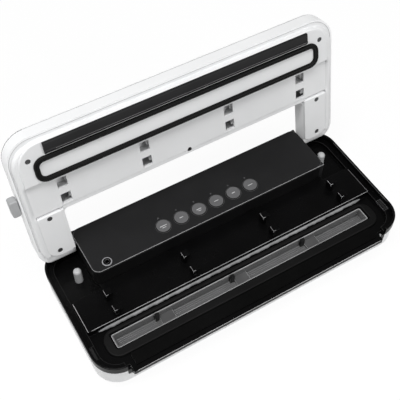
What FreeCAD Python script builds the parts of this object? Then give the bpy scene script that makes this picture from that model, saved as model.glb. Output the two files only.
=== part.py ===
"""Vacuum sealer: a base with pump, heater and controls, and a hinged lid with a sliding lock bar.

The origin is the middle of the base on the table. +X is the user's right, -Y the front and +Z up.
Lid pieces are drawn closed and turned back about the hinge pins, because the lid rests open.
"""
import FreeCAD, Part
import Sketcher
import math
import os
import re

# Driving dimensions in millimetres and degrees
SIZES = {
    # Base outline and levels
    "base_width": 400, "base_front": 84.5, "base_rear": 89, "base_corner": 30,
    "foot_height": 3, "case_split": 44, "rim_top": 54, "rim_wall": 3, "rim_edge": 1,
    # White hull
    "hull_inset": 1, "hull_taper": 16, "hull_tuck": 20, "hull_wall": 2.5, "hull_floor": 2.5,
    # Black deck moulding
    "ledge_width": 9.5, "ledge_thick": 2.5, "basin_inset": 7, "floor_top": 41.3, "floor_thick": 2.5,
    "deck_inset": 10.5, "deck_front": 26.6, "deck_rear": 16.7, "deck_top": 50, "deck_wall": 2.5,
    "apron_inset": 34, "apron_front": 88.5, "apron_height": 11.3, "apron_notch": 5,
    "apron_bevel": 6,
    "bay_front": 58, "bay_rear": 42, "bay_depth": 1.8, "bay_width": 6, "fit_gap": 0.3, "overlap": 1,
    # Control housing and panel
    "arm_gap": 2.6, "housing_front": 21.7, "housing_rear": 88.5, "housing_corner": 9,
    "housing_wall": 2.5, "housing_top": 71, "panel_thick": 2, "panel_edge": 1.2,
    # Buttons and boards
    "button_pitch": 23.66, "button_y": 40.6, "button_radius": 9, "button_proud": 0.8, "button_travel": 0.8,
    "button_gap": 0.2, "button_flange": 1.2, "flange_thick": 1.5, "stem_radius": 2,
    "switch_side": 6, "switch_height": 3.2, "switch_gap": 0.2,
    "board_half": 80, "board_front": 27, "board_rear": 56, "board_thick": 1.6, "board_drop": 12.4,
    "post_radius": 3, "post_inset": 6,
    # Accessory hose port
    "port_inset": 18.8, "port_y": 30.2, "port_ring": 5.75, "port_tube": 4, "port_bore": 2.5,
    "port_proud": 0.6, "port_length": 18,
    # Vacuum channel, tray and seals
    "channel_inset": 31.7, "channel_front": 54.8, "channel_rear": 38.2, "channel_depth": 12.3,
    "channel_wall": 2.5, "tray_gap": 0.3, "tray_wall": 1.2, "tray_lip": 1.2, "tray_lip_thick": 0.8,
    "tray_depth": 11, "step_length": 17, "step_height": 5, "tab_pitch": 97.8, "tab_offset": 13.5,
    "tab_width": 5, "tab_rise": 2.5, "tab_depth": 3.4,
    "gasket_inset": 20, "gasket_front": 66.5, "gasket_rear": 32, "gasket_corner": 14, "gasket_top": 44.7,
    "gasket_relief": 1, "rear_seal_inset": 22, "rear_seal_size": 3,
    "heater_inset": 40, "heater_front": 80.6, "heater_rear": 68, "heater_thick": 1.1,
    "tape_margin": 1.2, "tape_thick": 0.4,
    # Latch hooks on the deck
    "hook_inset": 48.2, "hook_share": 0.3544, "hook_front": 20, "hook_rear": 1.6, "hook_length": 8.5,
    "hook_height": 13, "hook_stem": 4, "hook_tab": 4, "hook_tab_thick": 2.8, "hook_offset": 3,
    # Lid plungers in the arm pockets
    "plunger_inset": 31.5, "plunger_y": 44, "plunger_radius": 4.7, "plunger_top": 62, "plunger_length": 28,
    "plunger_stem": 2.5, "plunger_tail": 10, "plunger_travel": 12, "plunger_dome": 3.5,
    "spring_wire": 0.8, "spring_turns": 5, "spring_clear": 0.3, "cup_wall": 1.4, "cup_height": 14,
    # Pump, power board and lid switches inside the hull
    "pump_left": 112, "pump_length": 42, "pump_front": 28, "pump_depth": 40, "pump_height": 34,
    "pump_round": 4, "motor_radius": 16, "motor_length": 55,
    "power_left": 20, "power_length": 100, "power_front": 26, "power_depth": 44, "power_lift": 6,
    "core_length": 38, "core_depth": 34, "core_height": 30,
    "lid_switch_gap": 4.9, "lid_switch_wide": 6.4, "lid_switch_long": 20, "lid_switch_tall": 10,
    "hose_radius": 3, "hose_bend": 14, "hose_high": 33, "hose_low": 22, "hose_run": 30,
    # Fasteners, feet and power inlet
    "screw_inset": 28, "screw_front": 12, "screw_rear": 62, "screw_radius": 1.5, "screw_head": 3.2,
    "screw_head_thick": 2, "screw_length": 16, "boss_radius": 4,
    "foot_inset": 50, "foot_front": 45, "foot_rear": 52, "foot_radius": 7, "foot_tip": 6.2,
    "inlet_inset": 45.2, "inlet_z": 58.5, "inlet_width": 17, "inlet_height": 10.6, "inlet_depth": 12,
    "inlet_wall": 1.2, "inlet_pitch": 8.6, "inlet_pin": 1.2,
    # Hinge
    "hinge_y": 78, "hinge_z": 64, "pin_radius": 3, "pin_clearance": 0.05, "pin_seat": 10, "pin_reach": 14,
    "hinge_boss": 6.5, "knuckle_gap": 0.4, "knuckle_length": 18, "lid_open": 102.5,
    # Lid shell, drawn closed
    "lid_front": 88, "lid_top": 75, "lid_rim": 54.3, "lid_wall": 2.2, "lid_corner": 30, "lid_edge": 5,
    "arm_width": 42.2, "arm_corner": 25, "arm_edge": 3, "arm_swing": 9.5, "bar_rear": 15, "bar_corner": 8,
    # Lid inner cover, drawn closed
    "cover_gap": 0.2, "cover_thick": 2.2, "cover_face": 48, "cover_wall": 2.5, "cover_edge": 1.5,
    "plateau_inset": 10, "plateau_front": 82, "plateau_corner": 26,
    "band_face": 52.5, "arm_face": 50.4, "band_front": 32.5, "band_rear": 13, "arm_block_margin": 2.4,
    "arm_block_rear": 75, "arm_block_corner": 15,
    "window_width": 11.5, "window_length": 13,
    "lid_screw_front_inset": 21.5, "lid_screw_front": 64.5, "lid_screw_inset": 24.5, "lid_screw_mid": 18.5,
    "lid_screw_rear": 66.8, "lid_screw_centre": 10, "screw_sink": 2.5, "sink_radius": 2.8,
    # Lid seals
    "loop_inset": 24.5, "loop_front": 64.8, "loop_rear": 33.2, "loop_corner": 12, "loop_width": 6,
    "loop_height": 3, "strip_inset": 40, "strip_front": 80.6, "strip_rear": 66.6, "strip_height": 4.7,
    "strip_edge": 2,
    # Lock bar and knob
    "bar_inset": 35, "bar_front_edge": 29.4, "bar_rear_edge": 5.7, "bar_level": 66, "bar_thick": 2,
    "catch_gap": 0.5, "catch_length": 6, "catch_leg": 2, "catch_width": 8, "catch_level": 57.5,
    "catch_thick": 2, "catch_boss": 2.4, "catch_boss_drop": 2.4, "lock_travel": 4, "rail_width": 2.2,
    "rail_gap": 0.3, "rail_middle": 10.5,
    "lock_stem_front": 13, "lock_stem_rear": 3, "riser_thick": 3, "lock_stem_low": 59, "lock_stem_high": 63.5,
    "slot_gap": 0.8, "knob_front": 18.3, "knob_rear": 2.8, "knob_low": 55.6, "knob_high": 67,
    "knob_proud": 9.4, "knob_gap": 0.6, "knob_edge": 2.5,
}

# Sizes that follow from the ones above
FITTED = {
    "half_width": "base_width / 2",
    "arm_inner": "half_width - arm_width",
    "housing_half": "arm_inner - arm_gap",
    "arm_block_inner": "arm_inner + arm_block_margin",
    "knuckle_end": "arm_inner + lid_wall + knuckle_length",
    "deck_half": "half_width - deck_inset",
    "apron_half": "half_width - apron_inset",
    "port_x": "housing_half - port_inset",
    "inlet_x": "housing_half - inlet_inset",
    "channel_half": "half_width - channel_inset",
    "gasket_half": "half_width - gasket_inset",
    "rear_seal_half": "half_width - rear_seal_inset",
    "heater_half": "half_width - heater_inset",
    "hook_outer": "half_width - hook_inset",
    "hook_inner": "hook_outer * hook_share",
    "plunger_x": "half_width - plunger_inset",
    "lid_switch_x": "plunger_x - plunger_radius - cup_wall - lid_switch_gap - lid_switch_wide / 2",
    "screw_x": "half_width - screw_inset",
    "foot_x": "half_width - foot_inset",
    "plateau_half": "half_width - plateau_inset",
    "lid_screw_front_x": "half_width - lid_screw_front_inset",
    "lid_screw_x": "half_width - lid_screw_inset",
    "loop_half": "half_width - loop_inset",
    "strip_half": "half_width - strip_inset",
    "bar_half": "half_width - bar_inset",
}

doc = FreeCAD.newDocument("vacuum_sealer")
sheet = doc.addObject("Spreadsheet::Sheet", "Dims")
for row, (alias, size) in enumerate(SIZES.items(), start=1):
    sheet.set(f"A{row}", alias)
    sheet.set(f"B{row}", str(size))
    sheet.setAlias(f"B{row}", alias)
doc.recompute()

parts = []
cuts = []


def spell(text):
    """Write out the fitted sizes in an expression until only the driving ones are left."""
    return re.sub(r"[a-z_]+", lambda word: f"({spell(FITTED[word[0]])})" if word[0] in FITTED else word[0],
                  text)


def link(text):
    """Point every size named in an expression at its cell of the sheet."""
    return re.sub(r"[a-z_]+", lambda word: "Dims." + word[0] if word[0] in SIZES else word[0], spell(text))


def number(text):
    """Value of an expression in the sheet's sizes."""
    return float(sheet.evalExpression(spell(text)))


def add(*terms):
    """Expression that adds up its terms."""
    return " + ".join(f"({term})" for term in terms)


def sub(first, *others):
    """Expression that takes the other terms from the first."""
    return f"({first})" + "".join(f" - ({term})" for term in others)


def neg(text):
    """Expression with its sign turned."""
    return f"-({text})"


def keep(thing, label):
    """Name a finished sub-part and list it for writing."""
    thing.Label = label
    parts.append(thing)
    return thing


def bind(sketch, rules):
    """Add rules to a sketch, and tie each one that comes with an expression to the sheet."""
    indexes = sketch.addConstraint([constraint for constraint, _ in rules])
    for index, (_, text) in zip(indexes, rules):
        if text is not None:
            name = f"size_{index}"
            sketch.renameConstraint(index, name)
            sketch.setExpression(f"Constraints.{name}", link(text))


def rect(x_low, x_high, y_low, y_high, corner="0"):
    """Rectangle outline with one corner radius."""
    return [(x_low, y_low, corner), (x_high, y_low, corner), (x_high, y_high, corner), (x_low, y_high, corner)]


def wide(half, y_low, y_high, corner="0"):
    """Rectangle outline centred on X."""
    return rect(neg(half), half, y_low, y_high, corner)


def disc(x, y, radius):
    """Circle outline."""
    return (x, y, radius)


def draw_loop(sketch, corners):
    """Draw a closed outline through corner points, each rounded by its radius, fully dimensioned."""
    count = len(corners)
    spots = [FreeCAD.Vector(number(x), number(y), 0) for x, y, _ in corners]
    radii = [number(radius) for _, _, radius in corners]
    entry, leave, middle, turn = [], [], [], []
    for i in range(count):
        back = (spots[i - 1] - spots[i]).normalize()
        ahead = (spots[(i + 1) % count] - spots[i]).normalize()
        half = back.getAngle(ahead) / 2
        entry.append(spots[i] + back * (radii[i] / math.tan(half)))
        leave.append(spots[i] + ahead * (radii[i] / math.tan(half)))
        middle.append(spots[i] + (back + ahead).normalize() * (radii[i] / math.sin(half)))
        turn.append(ahead.cross(back).z)
    lines = []
    for i in range(count):
        side = Part.LineSegment(leave[i], entry[(i + 1) % count])
        lines.append(sketch.addGeometry(side, False))
    rules = []
    for i, (x, y, radius) in enumerate(corners):
        mark = sketch.addGeometry(Part.Point(spots[i]), True)
        rules.append((Sketcher.Constraint("DistanceX", mark, 1, spots[i].x), x))
        rules.append((Sketcher.Constraint("DistanceY", mark, 1, spots[i].y), y))
        before, after = lines[i - 1], lines[i]
        if radii[i] == 0:
            rules.append((Sketcher.Constraint("Coincident", before, 2, mark, 1), None))
            rules.append((Sketcher.Constraint("Coincident", after, 1, mark, 1), None))
            continue
        first, last = (entry[i], leave[i]) if turn[i] > 0 else (leave[i], entry[i])
        start = math.atan2(first.y - middle[i].y, first.x - middle[i].x)
        end = math.atan2(last.y - middle[i].y, last.x - middle[i].x)
        circle = Part.Circle(middle[i], FreeCAD.Vector(0, 0, 1), radii[i])
        arc = sketch.addGeometry(Part.ArcOfCircle(circle, start, end), False)
        ends = (1, 2) if turn[i] > 0 else (2, 1)
        rules.append((Sketcher.Constraint("Tangent", before, 2, arc, ends[0]), None))
        rules.append((Sketcher.Constraint("Tangent", after, 1, arc, ends[1]), None))
        rules.append((Sketcher.Constraint("PointOnObject", mark, 1, before), None))
        rules.append((Sketcher.Constraint("PointOnObject", mark, 1, after), None))
        rules.append((Sketcher.Constraint("Radius", arc, radii[i]), radius))
    bind(sketch, rules)


def draw_disc(sketch, x, y, radius):
    """Draw a dimensioned circle."""
    centre = FreeCAD.Vector(number(x), number(y), 0)
    ring = sketch.addGeometry(Part.Circle(centre, FreeCAD.Vector(0, 0, 1), number(radius)), False)
    bind(sketch, [(Sketcher.Constraint("DistanceX", ring, 3, centre.x), x),
                  (Sketcher.Constraint("DistanceY", ring, 3, centre.y), y),
                  (Sketcher.Constraint("Radius", ring, number(radius)), radius)])


class Piece:
    """A body built from dimensioned sketches, each set at a level along its plane's normal."""

    def __init__(self, label):
        self.body = keep(doc.addObject("PartDesign::Body", label), label)

    def sketch(self, outlines, level, role):
        """Draw the outlines on one of the body's own planes, raised to a level."""
        drawing = self.body.newObject("Sketcher::SketchObject", "Sketch")
        plane = [datum for datum in self.body.Origin.OriginFeatures if datum.Role == role][0]
        drawing.AttachmentSupport = [(plane, "")]
        drawing.MapMode = "FlatFace"
        drawing.setExpression("AttachmentOffset.Base.z", link(level))
        for outline in outlines:
            if isinstance(outline, tuple):
                draw_disc(drawing, *outline)
            else:
                draw_loop(drawing, outline)
        return drawing

    def pad(self, outlines, low, high, role="XY_Plane"):
        """Add material between two levels. The XZ plane's normal points to -Y."""
        level = neg(high) if role == "XZ_Plane" else low
        drawing = self.sketch(outlines, level, role)
        feature = self.body.newObject("PartDesign::Pad", "Pad")
        feature.Profile = drawing
        feature.setExpression("Length", link(sub(high, low)))
        return feature

    def cut(self, outlines, low, high, role="XY_Plane"):
        """Take material away between two levels."""
        level = neg(low) if role == "XZ_Plane" else high
        drawing = self.sketch(outlines, level, role)
        feature = self.body.newObject("PartDesign::Pocket", "Pocket")
        feature.Profile = drawing
        feature.setExpression("Length", link(sub(high, low)))
        cuts.append(feature)
        return feature

    def loft(self, kind, low_outline, low, high_outline, high):
        """Loft straight from one outline to another."""
        drawings = [self.sketch([low_outline], low, "XY_Plane"), self.sketch([high_outline], high, "XY_Plane")]
        feature = self.body.newObject(f"PartDesign::{kind}Loft", "Loft")
        feature.Profile = drawings[0]
        feature.Sections = [drawings[1]]
        feature.Ruled = True
        return feature

    def turn(self, profile):
        """Turn a profile of radius and height about the body's Z axis."""
        drawing = self.sketch([profile], "0", "XZ_Plane")
        feature = self.body.newObject("PartDesign::Revolution", "Revolution")
        feature.Profile = drawing
        feature.ReferenceAxis = (drawing, ["V_Axis"])
        feature.Angle = 360
        return feature

    def round_edges(self, radius, chosen):
        """Round the edges that a test on the edge picks."""
        doc.recompute()
        base = self.body.Tip
        names = [f"Edge{i}" for i, edge in enumerate(base.Shape.Edges, start=1) if chosen(edge)]
        feature = self.body.newObject("PartDesign::Fillet", "Fillet")
        feature.Base = (base, names)
        feature.setExpression("Radius", link(radius))
        return feature

    def place(self, x="0", y="0", z="0"):
        """Set the body down at a point."""
        place_at(self.body, x, y, z)
        return self

    def open_lid(self):
        """Turn the body back about the hinge pins to the lid's rest."""
        turn_open(self.body)
        return self


def place_at(thing, x, y, z):
    """Tie an object's place to the sheet."""
    for axis, text in zip("xyz", (x, y, z)):
        thing.setExpression(f"Placement.Base.{axis}", link(text))


def turn_open(thing):
    """Turn an object that was drawn closed about the hinge line by the lid's opening angle."""
    thing.Placement = FreeCAD.Placement(FreeCAD.Vector(), FreeCAD.Rotation(FreeCAD.Vector(1, 0, 0), -90))
    thing.setExpression("Placement.Rotation.Angle", link("-lid_open"))
    y_text = "hinge_y - hinge_y * cos(lid_open) - hinge_z * sin(lid_open)"
    z_text = "hinge_z + hinge_y * sin(lid_open) - hinge_z * cos(lid_open)"
    place_at(thing, "0", y_text, z_text)


def lies_at(level):
    """Test for an edge that lies in the level plane."""
    return lambda edge: all(abs(v.Z - number(level)) < 1e-4 for v in edge.Vertexes)


def is_hole(edge):
    """Test for a full circle."""
    return len(edge.Vertexes) == 1


def box(x_low, x_high, y_low, y_high, z_low, z_high):
    """Block between two corners."""
    block = doc.addObject("Part::Box", "Block")
    for side, low, high in (("Length", x_low, x_high), ("Width", y_low, y_high), ("Height", z_low, z_high)):
        block.setExpression(side, link(sub(high, low)))
    place_at(block, x_low, y_low, z_low)
    return block


def rod(x, y, z_low, z_high, radius):
    """Upright round bar."""
    bar = doc.addObject("Part::Cylinder", "Rod")
    bar.setExpression("Radius", link(radius))
    bar.setExpression("Height", link(sub(z_high, z_low)))
    place_at(bar, x, y, z_low)
    return bar


def cross_rod(x_low, x_high, y, z, radius):
    """Round bar along X."""
    bar = doc.addObject("Part::Cylinder", "Rod")
    bar.setExpression("Radius", link(radius))
    bar.setExpression("Height", link(sub(x_high, x_low)))
    bar.Placement.Rotation = FreeCAD.Rotation(FreeCAD.Vector(0, 1, 0), 90)
    place_at(bar, x_low, y, z)
    return bar


def fuse(*shapes):
    """Join solids into one."""
    joined = doc.addObject("Part::MultiFuse", "Fuse")
    joined.Shapes = list(shapes)
    joined.Refine = True
    return joined


def group(label, solids):
    """Separate solids that share a node."""
    bundle = doc.addObject("Part::Compound", label)
    bundle.Links = solids
    return keep(bundle, label)


SIDES = {"left": "-1", "right": "1"}


def at_side(side, text):
    """Coordinate on the named side."""
    return f"{SIDES[side]} * ({text})"


def span(side, near, far):
    """Lower and upper coordinate of a run from near to far on the named side."""
    ends = (at_side(side, near), at_side(side, far))
    return ends if side == "right" else (ends[1], ends[0])


def base_outline(inset):
    """Rounded outline of the base, drawn in by an inset."""
    half = sub("half_width", inset)
    return wide(half, neg(sub("base_front", inset)), sub("base_rear", inset), sub("base_corner", inset))


def housing_outline(inset, rear="housing_rear"):
    """Outline of the control housing, drawn in by an inset."""
    half = sub("housing_half", inset)
    return wide(half, add("housing_front", inset), sub(rear, inset), sub("housing_corner", inset))


def inlet_outline(inset):
    """Rounded oblong of the power inlet in the housing's rear wall, drawn in by an inset."""
    half_width, half_height = sub("inlet_width / 2", inset), sub("inlet_height / 2", inset)
    return rect(sub("inlet_x", half_width), add("inlet_x", half_width), sub("inlet_z", half_height),
                add("inlet_z", half_height), f"0.98 * ({half_height})")


def lid_outline(inset, rear):
    """U-shaped outline of the lid: a bar across the front and two arms that end at the rear line."""
    half = sub("half_width", inset)
    front = neg(sub("lid_front", inset))
    inner = add("arm_inner", inset)
    bar = sub("bar_rear", inset)
    corner, arm = sub("lid_corner", inset), sub("arm_corner", inset)
    tip, nook = sub("arm_edge", f"({inset}) / 2"), add("bar_corner", inset)
    right = [(half, front, corner), (half, rear, arm), (inner, rear, tip), (inner, bar, nook)]
    left = [(neg(x), y, radius) for x, y, radius in reversed(right)]
    return right + left


SEAT = "case_split + ledge_thick"
FLOOR_UNDER = "floor_top - floor_thick"
HULL_TOP = "foot_height + hull_floor"
PANEL_TOP = "housing_top + panel_thick"
BOARD_TOP = "housing_top - board_drop"
BASE_SCREWS = [("-screw_x", "-screw_front"), ("screw_x", "-screw_front"), ("screw_x", "screw_rear"),
               ("-screw_x", "screw_rear")]
POWER_CORNERS = [(x, y) for x in ("power_left + post_inset", "power_left + power_length - post_inset")
                 for y in ("power_front + post_inset", "power_front + power_depth - post_inset")]
PANEL_POSTS = [(x, y) for x in ("-board_half + post_inset", "board_half - post_inset")
               for y in ("board_front + post_inset", "board_rear - post_inset")]
HOOK_SPOTS = [(x, y) for x in ("-hook_outer", "-hook_inner", "hook_inner", "hook_outer")
              for y in ("-hook_front", "hook_rear")]
ARM_END = "hinge_y - 2 * overlap"
KNUCKLE = "arm_swing - lid_wall - knuckle_gap"
LID_SCREWS = [(f"{sign}{x}", y, f"{face} + screw_sink") for sign in ("-", "")
              for x, y, face in (("lid_screw_front_x", "-lid_screw_front", "cover_face"),
                                 ("lid_screw_x", "lid_screw_mid", "arm_face"),
                                 ("lid_screw_x", "lid_screw_rear", "arm_face"))]
SPARE_HOLE = ("0", "lid_screw_centre", "band_face")
BUTTON_COUNT = 6


def button_x(index):
    """Place of a button along the panel."""
    return f"button_pitch * {index - (BUTTON_COUNT - 1) / 2}"


def build_lower_case():
    """White hull that draws in towards the table, with spring cups and board posts."""
    hull = Piece("lower_case")
    foot_inset = add("hull_inset", "hull_taper")
    hull.pad([base_outline("hull_inset")], "hull_tuck", "case_split")
    hull.loft("Additive", base_outline(foot_inset), "foot_height", base_outline("hull_inset"), "hull_tuck")
    hull.cut([base_outline("hull_inset + hull_wall")], "hull_tuck", "case_split + overlap")
    hull.loft("Subtractive", base_outline(add(foot_inset, "hull_wall")), HULL_TOP,
              base_outline("hull_inset + hull_wall"), "hull_tuck")
    reach = wide("apron_half + fit_gap", neg("apron_front + overlap"), neg("base_front - hull_taper"))
    hull.cut([reach], "floor_top - apron_height - fit_gap", "case_split + overlap")
    bore = "plunger_radius + fit_gap"
    cups = []
    for side in SIDES:
        for radius in (add(bore, "cup_wall"), bore):
            cups.append(disc(at_side(side, "plunger_x"), "plunger_y", radius))
    hull.pad(cups, "foot_height + hull_floor / 2", add(HULL_TOP, "cup_height"))
    posts = [disc(x, y, "post_radius") for x, y in POWER_CORNERS]
    hull.pad(posts, "foot_height + hull_floor / 2", add(HULL_TOP, "power_lift"))
    holes = [disc(x, y, "screw_radius + fit_gap") for x, y in BASE_SCREWS]
    hull.cut(holes, "foot_height - overlap", add(HULL_TOP, "overlap"))


def build_upper_case():
    """Black deck moulding: rim, ledge, basin, hook deck, channel trough, apron and pockets."""
    case = Piece("upper_case")
    case.pad([base_outline("0"), base_outline("rim_wall")], "case_split", "rim_top")
    case.pad([base_outline("0"), base_outline("ledge_width")], "case_split", SEAT)
    case.pad([base_outline("basin_inset"), base_outline("ledge_width")], FLOOR_UNDER, SEAT)
    case.pad([base_outline("basin_inset")], FLOOR_UNDER, "floor_top")
    mouth = wide("apron_half + apron_notch", neg("apron_front + overlap"), "-gasket_front")
    case.cut([mouth], "floor_top", "rim_top + overlap")
    apron = wide("apron_half", "-apron_front", neg("base_front - basin_inset - overlap"), "rim_wall / 2")
    case.pad([apron], "floor_top - apron_height", "floor_top")
    edge, under = neg("apron_front + overlap"), "floor_top - apron_height - overlap"
    bevel = [(edge, under, "0"), (add(edge, "apron_bevel + 2 * overlap"), under, "0"),
             (edge, add(under, "apron_bevel + 2 * overlap"), "0")]
    case.cut([bevel], neg("apron_half + overlap"), "apron_half + overlap", "YZ_Plane")
    case.pad([wide("deck_half", "-deck_front", "deck_rear", "deck_wall / 2")], FLOOR_UNDER, "deck_top")
    case.pad([wide("housing_half - deck_wall", "deck_rear - overlap", "housing_front")], FLOOR_UNDER,
             "deck_top")
    hollow = wide("deck_half - deck_wall", neg("deck_front - deck_wall"), "deck_rear - deck_wall")
    case.cut([hollow], sub(FLOOR_UNDER, "overlap"), "deck_top - deck_wall")
    seat = [housing_outline("0", "base_rear - ledge_width"), housing_outline("housing_wall",
                                                                             "base_rear - ledge_width")]
    case.pad(seat, FLOOR_UNDER, SEAT)
    opening = housing_outline("housing_wall", "base_rear - ledge_width")
    case.cut([opening], sub(FLOOR_UNDER, "overlap"), add(SEAT, "overlap"))
    gate = wide("housing_half + fit_gap", "base_rear - ledge_width", "base_rear + overlap")
    case.cut([gate], SEAT, "rim_top + overlap")
    trough = wide("channel_half + channel_wall", neg("channel_front + channel_wall"),
                  neg("channel_rear - channel_wall"))
    case.pad([trough], "floor_top - channel_depth - channel_wall", "floor_top - floor_thick / 2")
    channel = wide("channel_half", "-channel_front", "-channel_rear")
    case.cut([channel], "floor_top - channel_depth", "floor_top + overlap")
    case.cut([disc("-pump_left + pump_length / 2", "hose_high", "hose_radius - overlap")],
             neg("channel_rear + overlap"), neg("channel_rear - channel_wall - overlap"), "XZ_Plane")
    guides = [disc(at_side(side, "plunger_x"), "plunger_y", "plunger_radius + fit_gap") for side in SIDES]
    case.cut(guides, sub(FLOOR_UNDER, "overlap"), "floor_top + overlap")
    for row, roof in (("-screw_front", "deck_top - deck_wall / 2"), ("screw_rear",
                                                                     "floor_top - floor_thick / 2")):
        bosses = [disc(x, y, "boss_radius") for x, y in BASE_SCREWS if y == row]
        case.pad(bosses, add(HULL_TOP, "fit_gap"), roof)
    holes = [disc(x, y, "screw_radius") for x, y in BASE_SCREWS]
    case.cut(holes, HULL_TOP, "foot_height + screw_length + overlap")
    bays = []
    for side in SIDES:
        low, high = span(side, sub("half_width", "rim_wall", "bay_width + overlap / 2"),
                         sub("half_width", "rim_wall", "overlap / 2"))
        bays.append(rect(low, high, "-bay_front", "-bay_rear"))
    case.cut(bays, sub(SEAT, "bay_depth"), add(SEAT, "overlap"))
    case.round_edges("rim_edge", lies_at("rim_top"))
    case.round_edges("rim_edge", lies_at("deck_top"))


def build_controls():
    """Control housing, matt panel, buttons, boards, hose port and power inlet."""
    housing = Piece("control_housing")
    housing.pad([housing_outline("0"), housing_outline("housing_wall")], SEAT, "housing_top")
    for side in SIDES:
        wall = at_side(side, "housing_half - housing_wall / 2")
        end = at_side(side, "housing_half - pin_seat")
        low, high = (wall, end) if side == "left" else (end, wall)
        housing.pad([disc("hinge_y", "hinge_z", "hinge_boss")], low, high, "YZ_Plane")
    through = "housing_half + overlap"
    housing.cut([disc("hinge_y", "hinge_z", "pin_radius")], neg(through), through, "YZ_Plane")
    housing.cut([inlet_outline("0")], "housing_rear - housing_wall - overlap", "housing_rear + overlap",
                "XZ_Plane")

    panel = Piece("control_panel")
    holes = [disc(button_x(i), "button_y", "button_radius + button_gap") for i in range(BUTTON_COUNT)]
    holes.append(disc("-port_x", "port_y", "port_tube"))
    panel.pad([housing_outline("0")] + holes, "housing_top", PANEL_TOP)
    panel.pad([disc(x, y, "post_radius") for x, y in PANEL_POSTS], BOARD_TOP, "housing_top + panel_thick / 2")
    panel.round_edges("panel_edge", lambda edge: lies_at(PANEL_TOP)(edge) and not is_hole(edge))

    board = Piece("control_board")
    board.pad([wide("board_half", "board_front", "board_rear", "post_radius")], sub(BOARD_TOP,
                                                                                    "board_thick"), BOARD_TOP)
    switch_top = add(BOARD_TOP, "switch_height")
    switches = []
    for i in range(BUTTON_COUNT):
        x = button_x(i)
        switches.append(box(sub(x, "switch_side / 2"), add(x, "switch_side / 2"), "button_y - switch_side / 2",
                            "button_y + switch_side / 2", BOARD_TOP, switch_top))
        button = Piece(f"button_{i + 1}")
        rise = add(PANEL_TOP, "button_proud")
        flange_top = sub("housing_top", "fit_gap")
        flange_low = sub(flange_top, "flange_thick")
        rim = "button_radius + button_flange"
        stem_low = add(switch_top, "button_travel", "switch_gap")
        button.turn([("0", stem_low, "0"), ("stem_radius", stem_low, "0"), ("stem_radius", flange_low, "0"),
                     (rim, flange_low, "0"), (rim, flange_top, "0"), ("button_radius", flange_top, "0"),
                     ("button_radius", rise, "button_proud"), ("0", rise, "0")])
        button.place(x, "button_y")
    group("tact_switches", switches)

    port = Piece("hose_port")
    top = add(PANEL_TOP, "port_proud")
    port.turn([("port_bore", sub(PANEL_TOP, "port_length"), "0"), ("port_tube", sub(PANEL_TOP,
                                                                                    "port_length"), "0"),
               ("port_tube", PANEL_TOP, "0"), ("port_ring", PANEL_TOP, "0"), ("port_ring", top,
                                                                              "port_proud / 2"),
               ("port_bore", top, "0")])
    port.place("-port_x", "port_y")

    inlet = Piece("power_inlet")
    inner_end = "housing_rear - inlet_depth"
    inlet.pad([inlet_outline("0")], inner_end, "housing_rear", "XZ_Plane")
    inlet.cut([inlet_outline("inlet_wall")], add(inner_end, "inlet_wall"), "housing_rear + overlap", "XZ_Plane")
    pins = []
    for side in SIDES:
        x = add("inlet_x", at_side(side, "inlet_pitch / 2"))
        pin = doc.addObject("Part::Cylinder", "InletPin")
        pin.setExpression("Radius", link("inlet_pin"))
        pin.setExpression("Height", link("inlet_depth - inlet_wall - overlap"))
        pin.Placement.Rotation = FreeCAD.Rotation(FreeCAD.Vector(1, 0, 0), -90)
        place_at(pin, x, add(inner_end, "inlet_wall"), "inlet_z")
        pins.append(pin)
    group("inlet_pins", pins)


def build_channel():
    """Lift-out tray, its tabs, the seals and the heater on the apron."""
    tray = Piece("drip_tray")
    half = "channel_half - tray_gap"
    front, rear = neg("channel_front - tray_gap"), neg("channel_rear + tray_gap")
    bottom, lip_top = "floor_top - tray_depth", "floor_top + tray_lip_thick"
    tray.pad([wide(half, front, rear, "tray_lip")], bottom, lip_top)
    lip = wide(add(half, "tray_lip"), sub(front, "tray_lip"), add(rear, "tray_lip"), "tray_lip * 2")
    tray.pad([lip], "floor_top", lip_top)
    inside = wide(sub(half, "tray_wall"), add(front, "tray_wall"), sub(rear, "tray_wall"), "tray_wall / 2")
    tray.cut([inside], add(bottom, "tray_wall"), add(lip_top, "overlap"))
    tabs, steps = [], []
    for index in (-1, 0, 1):
        x = f"tab_pitch * {index} - tab_offset"
        steps.append(rect(x, add(x, "step_length"), add(front, "tray_wall / 2"), sub(rear, "tray_wall / 2")))
        tabs.append(box(sub(x, "tab_width"), x, sub(rear, "tab_depth", "tray_wall"), sub(rear, "tray_wall"),
                        add(bottom, "tray_wall"), add(lip_top, "tab_rise")))
    tray.pad(steps, add(bottom, "tray_wall / 2"), add(bottom, "step_height"))
    group("tray_tabs", tabs)

    gasket = Piece("lower_gasket")
    outer = wide("gasket_half", "-gasket_front", "-gasket_rear", "gasket_corner")
    clear = add("tray_lip", "gasket_relief")
    inner = wide(add("channel_half", clear), neg(add("channel_front", clear)), neg(sub("channel_rear",
                                                                                       clear)), "tray_lip * 2")
    gasket.pad([outer, inner], "floor_top", "gasket_top")
    gasket.round_edges("tray_lip", lies_at("gasket_top"))

    seal = Piece("rear_seal")
    seal.pad([wide("rear_seal_half", neg("deck_front + rear_seal_size"), "-deck_front")], "floor_top",
             "floor_top + rear_seal_size")
    seal.round_edges("rear_seal_size * 0.8", lambda edge: lies_at("floor_top + rear_seal_size")(edge)
                     and all(abs(v.Y + number("deck_front + rear_seal_size")) < 1e-4 for v in edge.Vertexes))

    heater = Piece("heater_bar")
    heater.pad([wide("heater_half", "-heater_front", "-heater_rear", "heater_thick")], "floor_top",
               "floor_top + heater_thick")
    tape = Piece("heater_tape")
    span = wide("heater_half", neg("heater_front + tape_margin"), neg("heater_rear - tape_margin"))
    tape.pad([span], "floor_top + heater_thick", "floor_top + heater_thick + tape_thick")


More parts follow.
